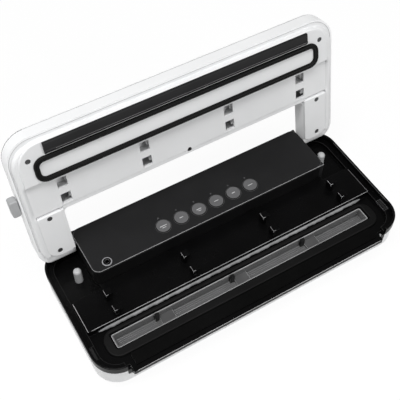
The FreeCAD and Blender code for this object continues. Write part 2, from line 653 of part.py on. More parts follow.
def build_hooks():
    """Eight hooks on the deck, each a stem with a tab towards +X."""
    hooks = []
    for x, y in HOOK_SPOTS:
        left = sub(x, "hook_offset")
        right = add(left, "hook_stem")
        near, far = sub(y, "hook_length / 2"), add(y, "hook_length / 2")
        top = "deck_top + hook_height"
        stem = box(left, right, near, far, "deck_top", top)
        tab = box(sub(right, "overlap"), add(right, "hook_tab"), near, far, sub(top, "hook_tab_thick"), top)
        hooks.append(fuse(stem, tab))
    group("latch_hooks", hooks)


def six_sided(distance, radius):
    """Six-sided wire section standing across Y at a distance along X."""
    turns = [math.radians(60 * k) for k in range(7)]
    return Part.makePolygon([FreeCAD.Vector(distance + radius * math.cos(t), 0, radius * math.sin(t))
                             for t in turns])


def build_plungers():
    """Sprung posts that the lid's arms press down, with their springs and switches."""
    switches = []
    for side in SIDES:
        x = at_side(side, "plunger_x")
        post = Piece(f"plunger_{side}")
        shoulder = sub("plunger_top", "plunger_length")
        tail = sub(shoulder, "plunger_tail")
        post.turn([("0", tail, "0"), ("plunger_stem", tail, "0"), ("plunger_stem", shoulder, "0"),
                   ("plunger_radius", shoulder, "0"), ("plunger_radius", "plunger_top", "plunger_dome"),
                   ("0", "plunger_top", "0")])
        post.place(x, "plunger_y")
        coil_radius = number("plunger_radius - spring_wire")
        low = number(HULL_TOP) + number("spring_wire / 2")
        span = number(shoulder) - number("spring_clear + spring_wire / 2") - low
        helix = Part.makeHelix(span / number("spring_turns"), span, coil_radius)
        coil = Part.Wire(helix).makePipeShell([six_sided(coil_radius, number("spring_wire / 2"))], True, True)
        spring = keep(doc.addObject("Part::Feature", f"plunger_spring_{side}"), f"plunger_spring_{side}")
        spring.Shape = coil
        spring.Placement = FreeCAD.Placement(FreeCAD.Vector(number(x), number("plunger_y"), low),
                                             FreeCAD.Rotation())
        middle = at_side(side, "lid_switch_x")
        switches.append(box(sub(middle, "lid_switch_wide / 2"), add(middle, "lid_switch_wide / 2"),
                            "plunger_y - lid_switch_long / 2", "plunger_y + lid_switch_long / 2", HULL_TOP,
                            add(HULL_TOP, "lid_switch_tall")))
    group("lid_switches", switches)


def build_inside():
    """Pump, motor, suction hose, power board and its transformer."""
    pump = Piece("vacuum_pump")
    pump_right = "-pump_left + pump_length"
    pump.pad([rect("-pump_left", pump_right, "pump_front", "pump_front + pump_depth", "pump_round")], HULL_TOP,
             add(HULL_TOP, "pump_height"))
    motor_y, motor_z = "pump_front + pump_depth / 2", add(HULL_TOP, "pump_height / 2")
    keep(cross_rod(pump_right, add(pump_right, "motor_length"), motor_y, motor_z, "motor_radius"), "pump_motor")

    board = Piece("power_board")
    level = add(HULL_TOP, "power_lift")
    power_right, power_rear = "power_left + power_length", "power_front + power_depth"
    board.pad([rect("power_left", power_right, "power_front", power_rear, "post_radius")], level, add(level,
                                                                                                      "board_thick"))
    core_x, core_y = "power_left + power_length / 2", "power_front + power_depth / 2"
    core = Piece("transformer")
    core.pad([rect(sub(core_x, "core_length / 2"), add(core_x, "core_length / 2"), sub(core_y,
                                                                                       "core_depth / 2"),
                   add(core_y, "core_depth / 2"), "post_radius")], add(level, "board_thick"),
             add(level, "board_thick", "core_height"))

    x = number("-pump_left + pump_length / 2")
    start = number("-channel_rear + channel_wall")
    end = number("pump_front")
    bend = number("hose_bend")
    run = (end - start - number("hose_run")) / 2
    route = [FreeCAD.Vector(x, start, number("hose_high")), FreeCAD.Vector(x, start + run, number("hose_high")),
             FreeCAD.Vector(x, end - run, number("hose_low")), FreeCAD.Vector(x, end, number("hose_low"))]
    tube = keep(doc.addObject("Part::Feature", "vacuum_hose"), "vacuum_hose")
    tube.Shape = swept_tube(route, bend, number("hose_radius"))
    if abs(hose_ratio(tube.Shape, route, bend) - 1) > 0.01:
        raise RuntimeError("the hose crosses itself at a bend")


def rounded_path(route, bend):
    """Straight runs joined by tangent arcs of one radius."""
    edges = []
    here = route[0]
    for before, corner, after in zip(route, route[1:], route[2:]):
        back, ahead = (before - corner).normalize(), (after - corner).normalize()
        half = back.getAngle(ahead) / 2
        reach = bend / math.tan(half)
        into, out = corner + back * reach, corner + ahead * reach
        crown = corner + (back + ahead).normalize() * (bend / math.sin(half) - bend)
        edges.append(Part.LineSegment(here, into).toShape())
        edges.append(Part.Arc(into, crown, out).toShape())
        here = out
    edges.append(Part.LineSegment(here, route[-1]).toShape())
    return Part.Wire(edges)


def swept_tube(route, bend, radius):
    """Round solid along a route."""
    ahead = route[1] - route[0]
    ring = Part.Wire(Part.Circle(route[0], ahead, radius).toShape())
    return rounded_path(route, bend).makePipeShell([ring], True, False)


def hose_ratio(shape, route, bend):
    """Swept volume over section times length, which is 1 for a sound tube."""
    return shape.Volume / (math.pi * number("hose_radius") ** 2 * rounded_path(route, bend).Length)


def build_fasteners():
    """Hinge pins, base screws and feet."""
    seat, reach = "housing_half - pin_seat", "housing_half + pin_reach"
    group("hinge_pins", [cross_rod(neg(reach), neg(seat), "hinge_y", "hinge_z", "pin_radius"),
                         cross_rod(seat, reach, "hinge_y", "hinge_z", "pin_radius")])
    screws = []
    for x, y in BASE_SCREWS:
        head = rod(x, y, "foot_height - screw_head_thick", "foot_height", "screw_head")
        shank = rod(x, y, "foot_height - overlap", "foot_height + screw_length", "screw_radius")
        screws.append(fuse(head, shank))
    group("base_screws", screws)
    feet = []
    spots = [(x, y) for x in ("-foot_x", "foot_x") for y in ("-foot_front", "foot_rear")]
    for x, y in spots + [("0", "0")]:
        foot = doc.addObject("Part::Cone", "Foot")
        for side, text in (("Radius1", "foot_tip"), ("Radius2", "foot_radius"), ("Height", "foot_height")):
            foot.setExpression(side, link(text))
        place_at(foot, x, y, "0")
        feet.append(foot)
    group("feet", feet)


def rear_trim(swing):
    """Region behind the hinge line that the arms may not reach, outside a round of the swing radius."""
    start, far, bow = "hinge_y - overlap / 2", "hinge_y + base_corner", f"({swing}) * 0.98"
    return [(start, "hinge_z - base_corner", "0"), (far, "hinge_z - base_corner", "0"),
            (far, "lid_top + overlap", "0"), (start, "lid_top + overlap", "0"),
            (start, add("hinge_z", swing), "0"), (add("hinge_y", swing), add("hinge_z", swing), bow),
            (add("hinge_y", swing), sub("hinge_z", swing), bow), (start, sub("hinge_z", swing), "0")]


def build_lid_shell():
    """White outer shell of the lid with its screw bosses and the knob's slot."""
    shell = Piece("lid_shell")
    shell.pad([lid_outline("0", "hinge_y + arm_swing")], "lid_rim", "lid_top")
    shell.round_edges("lid_edge", lies_at("lid_top"))
    shell.cut([lid_outline("lid_wall", ARM_END)], "lid_rim - overlap", "lid_top - lid_wall")
    sill = add("lid_rim", "cover_gap", "cover_thick")
    holes = LID_SCREWS + [SPARE_HOLE]
    shell.pad([disc(x, y, "boss_radius") for x, y, _ in holes], sill, "lid_top - lid_wall / 2")
    for level in sorted({seat for _, _, seat in holes}):
        ring = [disc(x, y, "screw_radius") for x, y, seat in holes if seat == level]
        shell.cut(ring, sub(sill, "overlap"), add(level, "screw_length", "fit_gap"))
    reach = "half_width + overlap"
    for side in SIDES:
        low, high = span(side, "arm_inner + lid_wall", "knuckle_end")
        shell.cut([disc("hinge_y", "hinge_z", "arm_swing - lid_wall")], low, high, "YZ_Plane")
    shell.cut([disc("hinge_y", "hinge_z", "pin_radius + fit_gap")], neg("knuckle_end"), "knuckle_end",
              "YZ_Plane")
    shell.cut([rear_trim("arm_swing")], neg(reach), reach, "YZ_Plane")
    slot = rect(neg("lock_stem_front + slot_gap"), neg("lock_stem_rear - slot_gap"), "lock_stem_low - slot_gap",
                "lock_stem_high + slot_gap")
    shell.cut([slot], neg(reach), neg("half_width - lid_wall - overlap"), "YZ_Plane")
    shell.open_lid()


def build_lid_cover():
    """Pale inner cover: front plateau, recessed window band, arm blocks and hinge knuckles."""
    cover = Piece("lid_cover")
    base, top = "lid_rim + cover_gap", "lid_rim + cover_gap + cover_thick"
    cover.pad([lid_outline("lid_wall + cover_gap", sub(ARM_END, "cover_gap"))], base, top)
    corners = [("-plateau_half", "-plateau_front", "plateau_corner"), ("plateau_half", "-plateau_front",
                                                                       "plateau_corner"),
               ("plateau_half", "-band_front", "0"), ("-plateau_half", "-band_front", "0")]
    cover.pad([corners], "cover_face", add(base, "cover_thick / 2"))
    cover.round_edges("cover_edge", lies_at("cover_face"))
    band = wide("plateau_half", neg("band_front + overlap"), "band_rear - lid_wall")
    cover.pad([band], "band_face", add(base, "cover_thick / 2"))
    blocks, pockets = [], []
    for side in SIDES:
        low, high = span(side, "arm_block_inner", "plateau_half")
        outer, inner = ("arm_block_corner", "arm_edge") if side == "right" else ("arm_edge", "arm_block_corner")
        blocks.append([(low, "band_rear", "arm_edge"), (high, "band_rear", "arm_edge"),
                       (high, "arm_block_rear", outer), (low, "arm_block_rear", inner)])
        low, high = span(side, "arm_block_inner + cover_wall", "plateau_half - cover_wall")
        pockets.append(rect(low, high, "band_rear + cover_wall", sub("hinge_y", KNUCKLE, "cover_wall")))
    cover.pad(blocks, "arm_face", add(base, "cover_thick / 2"))
    cover.round_edges("cover_edge", lies_at("arm_face"))
    cover.cut([wide("plateau_half - cover_wall", neg("plateau_front - plateau_corner / 2"),
                    neg("band_front + cover_wall"),
                    "arm_edge")], "cover_face + cover_wall", add(top, "overlap"))
    cover.cut([wide("plateau_half - cover_wall", neg("band_front - cover_wall"),
                    "band_rear - lid_wall - cover_wall")],
              "band_face + cover_wall", add(top, "overlap"))
    cover.cut(pockets, "arm_face + cover_wall", add(top, "overlap"))
    for level in sorted({seat for _, _, seat in LID_SCREWS}):
        bosses = [disc(x, y, "boss_radius") for x, y, seat in LID_SCREWS if seat == level]
        cover.pad(bosses, sub(level, "fit_gap"), top)
    rails = []
    for line in ("bar_front_edge", "rail_middle"):
        rails.append(wide("bar_half - riser_thick - 2 * rail_gap", neg(line), neg(sub(line, "rail_width"))))
    cover.pad(rails, "band_face + cover_wall / 2", "bar_level - rail_gap")
    for side in SIDES:
        low, high = span(side, "arm_inner + lid_wall + cover_gap", "knuckle_end - knuckle_gap")
        web = rect(sub("hinge_y", KNUCKLE), sub(ARM_END, "cover_gap"), base, "hinge_z")
        cover.pad([disc("hinge_y", "hinge_z", KNUCKLE)], low, high, "YZ_Plane")
        low, high = span(side, "arm_inner + lid_wall + arm_edge", "knuckle_end - knuckle_gap")
        cover.pad([web], low, high, "YZ_Plane")
    holes = [disc(x, y, "screw_radius + fit_gap") for x, y, _ in LID_SCREWS + [SPARE_HOLE]]
    cover.cut(holes, "cover_face - overlap", add(top, "overlap"))
    for level in sorted({seat for _, _, seat in LID_SCREWS}):
        sinks = [disc(x, y, "sink_radius + fit_gap") for x, y, seat in LID_SCREWS if seat == level]
        cover.cut(sinks, "cover_face - overlap", level)
    windows = []
    for x, y in HOOK_SPOTS:
        middle = sub(add(x, "hook_tab / 2"), "hook_offset", "-hook_stem / 2")
        windows.append(rect(sub(middle, "window_width / 2"), add(middle, "window_width / 2"),
                            sub(y, "window_length / 2"), add(y, "window_length / 2")))
    cover.cut(windows, "band_face - overlap", add(top, "overlap"))
    bore = "housing_half + pin_reach + fit_gap"
    cover.cut([disc("hinge_y", "hinge_z", "pin_radius + pin_clearance")], neg(bore), bore, "YZ_Plane")
    cover.open_lid()


def build_lid_seals():
    """Loop gasket and pressure strip on the lid's plateau."""
    loop = Piece("lid_gasket")
    outer = wide("loop_half", "-loop_front", "-loop_rear", "loop_corner")
    inner = wide("loop_half - loop_width", neg("loop_front - loop_width"), neg("loop_rear + loop_width"),
                 "loop_corner - loop_width")
    loop.pad([outer, inner], "cover_face - loop_height", "cover_face")
    loop.round_edges("loop_width / 3", lies_at("cover_face - loop_height"))
    loop.open_lid()

    strip = Piece("pressure_strip")
    strip.pad([wide("strip_half", "-strip_front", "-strip_rear")], "cover_face - strip_height", "cover_face")
    strip.round_edges("strip_edge", lambda edge: lies_at("cover_face - strip_height")(edge)
                      and edge.BoundBox.XLength > number("strip_half"))
    strip.open_lid()


def build_lock():
    """Sliding bar with eight catches, and the knob on its end."""
    bar = Piece("lock_bar")
    bar.pad([wide("bar_half", "-bar_front_edge", "bar_rear_edge", "catch_leg")], "bar_level",
            "bar_level + bar_thick")
    legs, fingers, bosses = [], [], []
    for x, y in HOOK_SPOTS:
        tip = add(sub(x, "hook_offset"), "hook_stem", "hook_tab", "catch_gap")
        near, far = sub(y, "catch_width / 2"), add(y, "catch_width / 2")
        end = add(tip, "catch_length")
        legs.append(rect(sub(end, "catch_leg"), end, near, far))
        fingers.append(rect(tip, end, near, far))
        bosses.append(disc(x, y, "catch_boss"))
    bar.pad(legs, "catch_level", "bar_level + bar_thick / 2")
    bar.pad(fingers, "catch_level", "catch_level + catch_thick")
    bar.pad(bosses, "bar_level - catch_boss_drop", "bar_level + bar_thick / 2")
    stem_end = neg("half_width + knob_gap")
    riser = rect("-bar_half", "-bar_half + riser_thick", "-lock_stem_front", "-lock_stem_rear")
    bar.pad([riser], "lock_stem_low", "bar_level + bar_thick / 2")
    stem = rect(stem_end, "-bar_half + riser_thick", "-lock_stem_front", "-lock_stem_rear")
    bar.pad([stem], "lock_stem_low", "lock_stem_high")
    bar.open_lid()

    knob = Piece("lock_knob")
    knob.pad([rect(sub(stem_end, "knob_proud"), stem_end, "-knob_front", "knob_rear", "knob_edge")],
             "knob_low", "knob_high")
    knob.round_edges("knob_edge / 2", lambda edge: lies_at("knob_low")(edge) or lies_at("knob_high")(edge))
    knob.open_lid()


def build_lid_screws():
    """Sunk screws that hold the cover to the shell."""
    screws = []
    for x, y, seat in LID_SCREWS:
        head = rod(x, y, sub(seat, "screw_head_thick"), seat, "sink_radius")
        shank = rod(x, y, sub(seat, "overlap"), add(seat, "screw_length"), "screw_radius - fit_gap / 10")
        screws.append(fuse(head, shank))
    bundle = group("lid_screws", screws)
    turn_open(bundle)


def check_and_write():
    """Stop on any failed object, then write one file for each sub-part."""
    doc.recompute()
    for thing in doc.Objects:
        if "Invalid" in thing.State or "Error" in thing.State:
            raise RuntimeError(f"{thing.Name} in {[p.Label for p in parts]} failed: {thing.State}")
    for feature in cuts:
        before = feature.BaseFeature.Shape.Volume
        if before - feature.Shape.Volume < 1e-3:
            raise RuntimeError(f"{feature.Name} of {feature.getParentGeoFeatureGroup().Label} cuts nothing")
    os.makedirs("parts", exist_ok=True)
    for thing in parts:
        shape = thing.Shape
        if shape.isNull() or not shape.isValid() or not shape.Solids:
            raise RuntimeError(f"{thing.Label} has no valid solid")
        shape.exportStep(f"parts/{thing.Label}.step")
        print(thing.Label, "solids", len(shape.Solids), "volume", round(shape.Volume))


build_lower_case()
build_upper_case()
build_controls()
build_channel()
build_hooks()
build_plungers()
build_inside()
build_fasteners()
build_lid_shell()
build_lid_cover()
build_lid_seals()
build_lock()
build_lid_screws()
check_and_write()
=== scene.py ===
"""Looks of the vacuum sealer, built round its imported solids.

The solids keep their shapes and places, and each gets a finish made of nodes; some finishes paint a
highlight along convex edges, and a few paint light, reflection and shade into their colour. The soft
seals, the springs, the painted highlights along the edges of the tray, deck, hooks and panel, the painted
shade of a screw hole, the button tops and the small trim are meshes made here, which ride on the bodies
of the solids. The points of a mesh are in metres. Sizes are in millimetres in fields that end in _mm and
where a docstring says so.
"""

import logging
import math
from dataclasses import dataclass
from enum import Enum
from typing import Sequence

import bpy
from mathutils import Matrix, Vector


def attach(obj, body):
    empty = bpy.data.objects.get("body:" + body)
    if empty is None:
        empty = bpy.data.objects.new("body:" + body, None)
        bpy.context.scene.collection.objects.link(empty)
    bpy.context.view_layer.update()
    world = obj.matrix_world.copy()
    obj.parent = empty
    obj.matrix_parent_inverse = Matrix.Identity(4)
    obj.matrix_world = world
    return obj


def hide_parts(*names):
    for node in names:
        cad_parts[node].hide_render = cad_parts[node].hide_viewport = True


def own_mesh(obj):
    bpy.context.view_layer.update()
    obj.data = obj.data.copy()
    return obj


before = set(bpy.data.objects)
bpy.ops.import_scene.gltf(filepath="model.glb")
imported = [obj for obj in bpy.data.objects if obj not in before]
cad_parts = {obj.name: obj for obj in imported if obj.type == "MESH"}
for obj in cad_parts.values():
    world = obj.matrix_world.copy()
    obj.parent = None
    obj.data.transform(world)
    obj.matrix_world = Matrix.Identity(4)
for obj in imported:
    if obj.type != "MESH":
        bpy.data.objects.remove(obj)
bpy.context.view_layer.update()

MM = 0.001
WHITE = (1.0, 1.0, 1.0, 1.0)
LOG = logging.getLogger("vacuum_sealer")
Span = tuple[float, float]
Pairs = Sequence[Span]
Section = Pairs
Triple = tuple[float, float, float]
Point = Triple
Box = tuple[Point, Point]
Faces = list[tuple[int, ...]]
Shape = tuple[list[Point], Faces]
Path = list[tuple[Vector, Vector]]
Socket = bpy.types.NodeSocket


class Grain(Enum):
    """Surface structure that a finish carries in its bump."""

    POLISHED = (35.0, 2.0)
    MOULDED = (2600.0, 3.0)
    RUBBER = (1500.0, 4.0)
    CLOTH = (1800.0, 1.0)
    BRUSHED = (900.0, 2.0)

    @property
    def scale(self) -> float:
        """Noise scale of the structure."""
        return self.value[0]

    @property
    def detail(self) -> float:
        """Noise detail of the structure."""
        return self.value[1]


@dataclass(frozen=True)
class Finish:
    """One surface finish, with the record's slot that it belongs to."""

    slot: str
    shade: Triple
    rough: float
    grain: Grain = Grain.MOULDED
    depth: float = 0.04
    drift: float = 0.05
    specular: float = 0.5
    metal: float = 0.0
    clear: float = 0.0
    edge_mm: float = 0.4
    # lighter tone painted along convex edges, a painted highlight
    edge_highlight: float = 0.0
    tone: str = "plain"

    def tones(self) -> tuple[tuple[float, ...], tuple[float, ...]]:
        """Darker and lighter tone that the surface drifts between.

        Returns:
            Two linear RGBA colours.
        """
        low = tuple(c * (1 - self.drift) for c in self.shade) + (1.0,)
        high = tuple(min(1.0, c * (1 + self.drift)) for c in self.shade) + (1.0,)
        return low, high

    def material(self) -> bpy.types.Material:
        """Make the node material, or return the one already made.

        Returns:
            The material named after the slot and the tone.
        """
        name = f"{self.slot}_{self.tone}"
        made = bpy.data.materials.get(name)
        if made is None:
            made = bpy.data.materials.new(name)
            made.use_nodes = True
            FinishNodes(self, made.node_tree).wire()
        return made


@dataclass
class FinishNodes:
    """Nodes that show one finish."""

    finish: Finish
    tree: bpy.types.NodeTree
    drift_scale: float = 22.0
    drift_detail: float = 4.0
    drift_ends: Span = (0.32, 0.68)
    handling_scale: float = 60.0
    handling_detail: float = 5.0
    handling_spread: float = 0.18
    # reach, thresholds and samples of the painted highlight along convex edges
    edge_highlight_reach_mm: float = 0.9
    edge_highlight_start: float = 0.92
    edge_highlight_full: float = 0.5
    edge_highlight_samples: int = 8
    brush_stretch: Triple = (0.04, 1.0, 1.0)
    relief_mm: float = 0.2
    edge_samples: int = 6

    def __post_init__(self) -> None:
        """Find the shader and add the object's own coordinates."""
        self.shader = self.tree.nodes["Principled BSDF"]
        self.place = self.add("ShaderNodeTexCoord", {}).outputs["Object"]

    def add(self, kind: str, values: dict[str, float | Triple]) -> bpy.types.Node:
        """Add a node with its own values.

        Args:
            kind: Blender's name for the kind of node.
            values: Constants by the name of their input.

        Returns:
            The new node.
        """
        node = self.tree.nodes.new(kind)
        for name, value in values.items():
            node.inputs[name].default_value = value
        return node

    def join(self, source: Socket, target: Socket) -> None:
        """Link an output to an input."""
        self.tree.links.new(source, target)

    def noise(self, scale: float, detail: float, place: Socket) -> Socket:
        """Noise texture.

        Args:
            scale: Cells per metre.
            detail: Octaves.
            place: Coordinates that it lies on.

        Returns:
            The noise from 0 to 1.
        """
        node = self.add("ShaderNodeTexNoise", {"Scale": scale, "Detail": detail})
        self.join(place, node.inputs["Vector"])
        return node.outputs["Fac"]

    def colour(self) -> Socket:
        """Slow drift between the two tones, as in a moulded part, and a painted edge highlight.

        Returns:
            Colour of the surface.
        """
        ramp = self.add("ShaderNodeValToRGB", {})
        for stop, place, tone in zip(ramp.color_ramp.elements, self.drift_ends, self.finish.tones()):
            stop.position = place
            stop.color = tone
        self.join(self.noise(self.drift_scale, self.drift_detail, self.place), ramp.inputs["Fac"])
        return self.paint_edge_highlight(ramp.outputs["Color"]) if self.finish.edge_highlight > 0 else ramp.outputs["Color"]

    def paint_edge_highlight(self, colour: Socket) -> Socket:
        """Painted highlight: lighter tone along convex edges, where rounded edges catch the lamps.

        Args:
            colour: Colour of the flat surface.

        Returns:
            Colour with the painted edge highlights.
        """
        edge_ao = self.add("ShaderNodeAmbientOcclusion", {"Distance": self.edge_highlight_reach_mm * MM})
        edge_ao.samples = self.edge_highlight_samples
        edge_ao.inside = True
        edge_ao.only_local = True
        share = self.add("ShaderNodeMapRange", {"From Min": self.edge_highlight_start, "From Max": self.edge_highlight_full})
        self.join(edge_ao.outputs["AO"], share.inputs["Value"])
        mix = self.add("ShaderNodeMix", {})
        mix.data_type = "RGBA"
        mix.inputs["B"].default_value = (self.finish.edge_highlight, self.finish.edge_highlight, self.finish.edge_highlight, 1.0)
        self.join(share.outputs["Result"], mix.inputs["Factor"])
        self.join(colour, mix.inputs["A"])
        return mix.outputs["Result"]

    def roughness(self) -> Socket:
        """Patches that are a little smoother or duller from handling.

        Returns:
            Roughness of the surface.
        """
        low = self.finish.rough * (1 - self.handling_spread)
        high = min(1.0, self.finish.rough * (1 + self.handling_spread))
        span = self.add("ShaderNodeMapRange", {"To Min": low, "To Max": high})
        self.join(self.noise(self.handling_scale, self.handling_detail, self.place), span.inputs["Value"])
        return span.outputs["Result"]

    def relief(self) -> Socket:
        """Fine surface structure over softly rounded edges.

        Returns:
            Normal of the surface.
        """
        grain, place = self.finish.grain, self.place
        if grain is Grain.BRUSHED:
            stretch = self.add("ShaderNodeMapping", {"Scale": self.brush_stretch})
            self.join(place, stretch.inputs["Vector"])
            place = stretch.outputs["Vector"]
        bump = self.add("ShaderNodeBump", {"Strength": self.finish.depth, "Distance": self.relief_mm * MM})
        self.join(self.noise(grain.scale, grain.detail, place), bump.inputs["Height"])
        if self.finish.edge_mm > 0:
            edge = self.add("ShaderNodeBevel", {"Radius": self.finish.edge_mm * MM})
            edge.samples = self.edge_samples
            self.join(edge.outputs["Normal"], bump.inputs["Normal"])
        return bump.outputs["Normal"]

    def wire(self) -> None:
        """Set what is the same all over the surface and link what varies."""
        inputs = self.shader.inputs
        inputs["Metallic"].default_value = self.finish.metal
        inputs["Specular IOR Level"].default_value = self.finish.specular
        inputs["Transmission Weight"].default_value = self.finish.clear
        self.join(self.colour(), inputs["Base Color"])
        self.join(self.roughness(), inputs["Roughness"])
        self.join(self.relief(), inputs["Normal"])


class Finishes:
    """Finishes of the sealer, by the slot names of the record."""

    WHITE_SHELL = Finish("white_shell", (0.86, 0.865, 0.87), 0.32, depth=0.02, drift=0.015, edge_mm=0.5)
    SEAM_DARK = Finish("white_shell", (0.06, 0.06, 0.062), 0.6, drift=0.1, edge_mm=0.0, tone="seam")
    SEAM_PALE = Finish("white_shell", (0.40, 0.40, 0.405), 0.6, drift=0.1, edge_mm=0.0, tone="joint")
    PALE_COVER = Finish("pale_cover", (0.76, 0.765, 0.77), 0.45, depth=0.03, drift=0.02, edge_mm=0.6)
    # painted shade in and round the spare screw hole
    HOLE_SHADE = Finish("pale_cover", (0.02, 0.02, 0.02), 0.7, drift=0.1, specular=0.2, edge_mm=0.0,
                       tone="hole")
    # gloss black with a faint painted highlight along its convex edges
    GLOSS_BLACK = Finish("gloss_black", (0.0022, 0.0022, 0.0023), 0.26, Grain.POLISHED, depth=0.03,
                         drift=0.2, specular=0.1, edge_mm=0.8, edge_highlight=0.03)
    HOOK_BLACK = Finish("gloss_black", (0.0022, 0.0022, 0.0023), 0.26, Grain.POLISHED, depth=0.03,
                        drift=0.2, specular=0.1, tone="hook")
    # painted reflection: the case's gloss black made lighter for the bright front reflected in the housing
    HOUSING_REFLECTION_BLACK = Finish("gloss_black", (0.0062, 0.0062, 0.0064), 0.3, Grain.POLISHED, depth=0.03,
                           drift=0.2, specular=0.25, edge_mm=0.8, tone="housing")
    # painted highlight: light strips for the bright lines on the black edges and hooks
    HIGHLIGHT_BLACK = Finish("gloss_black", (0.44, 0.44, 0.445), 0.3, Grain.POLISHED, depth=0.02, drift=0.25,
                        tone="edge")
    # painted highlight, fainter, for the right deck edge and the right rim
    HIGHLIGHT_DIM = Finish("gloss_black", (0.10, 0.10, 0.102), 0.3, Grain.POLISHED, depth=0.02, drift=0.25,
                      edge_mm=0.0, tone="dim")
    # matt panel black with a painted highlight along its convex edges
    PANEL_BLACK = Finish("panel_black", (0.012, 0.012, 0.0125), 0.5, drift=0.12, specular=0.16, edge_mm=0.6,
                         edge_highlight=0.1)
    # painted highlight along the panel's rounded edge
    HIGHLIGHT_PANEL = Finish("panel_black", (0.36, 0.36, 0.365), 0.35, Grain.POLISHED, depth=0.02, drift=0.2,
                        tone="edge")
    LENS_SMOKE = Finish("panel_black", (0.06, 0.06, 0.062), 0.2, Grain.POLISHED, depth=0.02, tone="lens")
    BUTTON_GREY = Finish("button_grey", (0.105, 0.105, 0.108), 0.5, drift=0.06)
    RING_BLACK = Finish("button_grey", (0.006, 0.006, 0.006), 0.5, drift=0.1, specular=0.15, edge_mm=0.0,
                        tone="ring")
    MARK_PALE = Finish("button_grey", (0.52, 0.52, 0.525), 0.5, drift=0.08, tone="mark")
    RING_GREY = Finish("ring_grey", (0.27, 0.27, 0.28), 0.42, edge_mm=0.2)
    LIP_BLACK = Finish("ring_grey", (0.003, 0.003, 0.003), 0.6, Grain.RUBBER, depth=0.1, drift=0.15,
                       specular=0.1, edge_mm=0.0, tone="lip")
    KNOB_GREY = Finish("knob_grey", (0.36, 0.365, 0.37), 0.48, edge_mm=0.6)
    POST_GREY = Finish("post_grey", (0.42, 0.425, 0.43), 0.4)
    # white lock bar, made lighter than the cover as painted light in the shaded insides of the windows
    BAR_WHITE = Finish("bar_white", (0.88, 0.885, 0.89), 0.45)
    # smoky tray with a painted highlight along its convex edges
    CLEAR_TRAY = Finish("clear_tray", (0.24, 0.24, 0.242), 0.16, Grain.POLISHED, depth=0.05, drift=0.08,
                        clear=0.5, edge_mm=0.3, edge_highlight=0.1)
    # painted highlight on the tray's lip and round its steps
    HIGHLIGHT_TRAY = Finish("clear_tray", (0.42, 0.422, 0.425), 0.2, Grain.POLISHED, depth=0.03, drift=0.2,
                       tone="edge")
    RIB_TRAY = Finish("clear_tray", (0.22, 0.222, 0.225), 0.22, Grain.POLISHED, depth=0.03, drift=0.2,
                      tone="rib")
    STEP_SMOKE = Finish("clear_tray", (0.085, 0.085, 0.086), 0.25, Grain.POLISHED, depth=0.03, drift=0.2,
                        edge_mm=0.0, tone="step")
    TAB_BLACK = Finish("tab_black", (0.006, 0.006, 0.006), 0.3, Grain.POLISHED, specular=0.3)
    SEAL_BLACK = Finish("seal_black", (0.0042, 0.0042, 0.0042), 0.5, Grain.RUBBER, depth=0.1, drift=0.15,
                        specular=0.12)
    STRIP_BLACK = Finish("strip_black", (0.0105, 0.0105, 0.011), 0.62, Grain.RUBBER, depth=0.15, drift=0.15,
                         specular=0.2)
    # painted highlight along the strip's crest
    HIGHLIGHT_STRIP = Finish("strip_black", (0.13, 0.13, 0.132), 0.45, Grain.RUBBER, depth=0.1, drift=0.3,
                        edge_mm=0.0, tone="edge")
    SEAL_GREY = Finish("seal_grey", (0.25, 0.253, 0.256), 0.6, Grain.RUBBER, depth=0.12, drift=0.2)
    TAPE_BLACK = Finish("tape_black", (0.0022, 0.0022, 0.0022), 0.4, Grain.CLOTH, depth=0.1, drift=0.2,
                        specular=0.06)
    HEATER_METAL = Finish("heater_metal", (0.58, 0.58, 0.58), 0.35, Grain.BRUSHED, depth=0.15, metal=1.0)
    STEEL = Finish("steel", (0.52, 0.52, 0.53), 0.34, Grain.BRUSHED, depth=0.15, metal=1.0)
    # painted shade: the sunk lid screws are dark steel so that their holes read dark
    SHADED_SUNK_STEEL = Finish("steel", (0.085, 0.085, 0.087), 0.5, Grain.BRUSHED, depth=0.15, metal=1.0,
                        edge_mm=0.0, tone="sunk")
    FOOT_RUBBER = Finish("foot_rubber", (0.03, 0.03, 0.03), 0.75, Grain.RUBBER, depth=0.2, drift=0.15)
    INLET_BLACK = Finish("inlet_black", (0.012, 0.012, 0.012), 0.5)
    PUMP_BLACK = Finish("pump_black", (0.035, 0.035, 0.038), 0.5)
    MOTOR_METAL = Finish("motor_metal", (0.5, 0.5, 0.5), 0.35, Grain.BRUSHED, depth=0.12, metal=1.0)
    BOARD_GREEN = Finish("board_green", (0.022, 0.14, 0.055), 0.4)
    CORE_METAL = Finish("core_metal", (0.17, 0.17, 0.18), 0.5, Grain.BRUSHED, depth=0.2, metal=0.6)
    HOSE_CLEAR = Finish("hose_clear", (0.58, 0.58, 0.56), 0.4, Grain.RUBBER, clear=0.3)


def placed(name: str, data: bpy.types.ID) -> bpy.types.Object:
    """Make an object and link it to the scene.

    Args:
        name: Object name.
        data: Mesh, light or camera that it shows.

    Returns:
        The new object.
    """
    made = bpy.data.objects.new(name, data)
    bpy.context.scene.collection.objects.link(made)
    return made


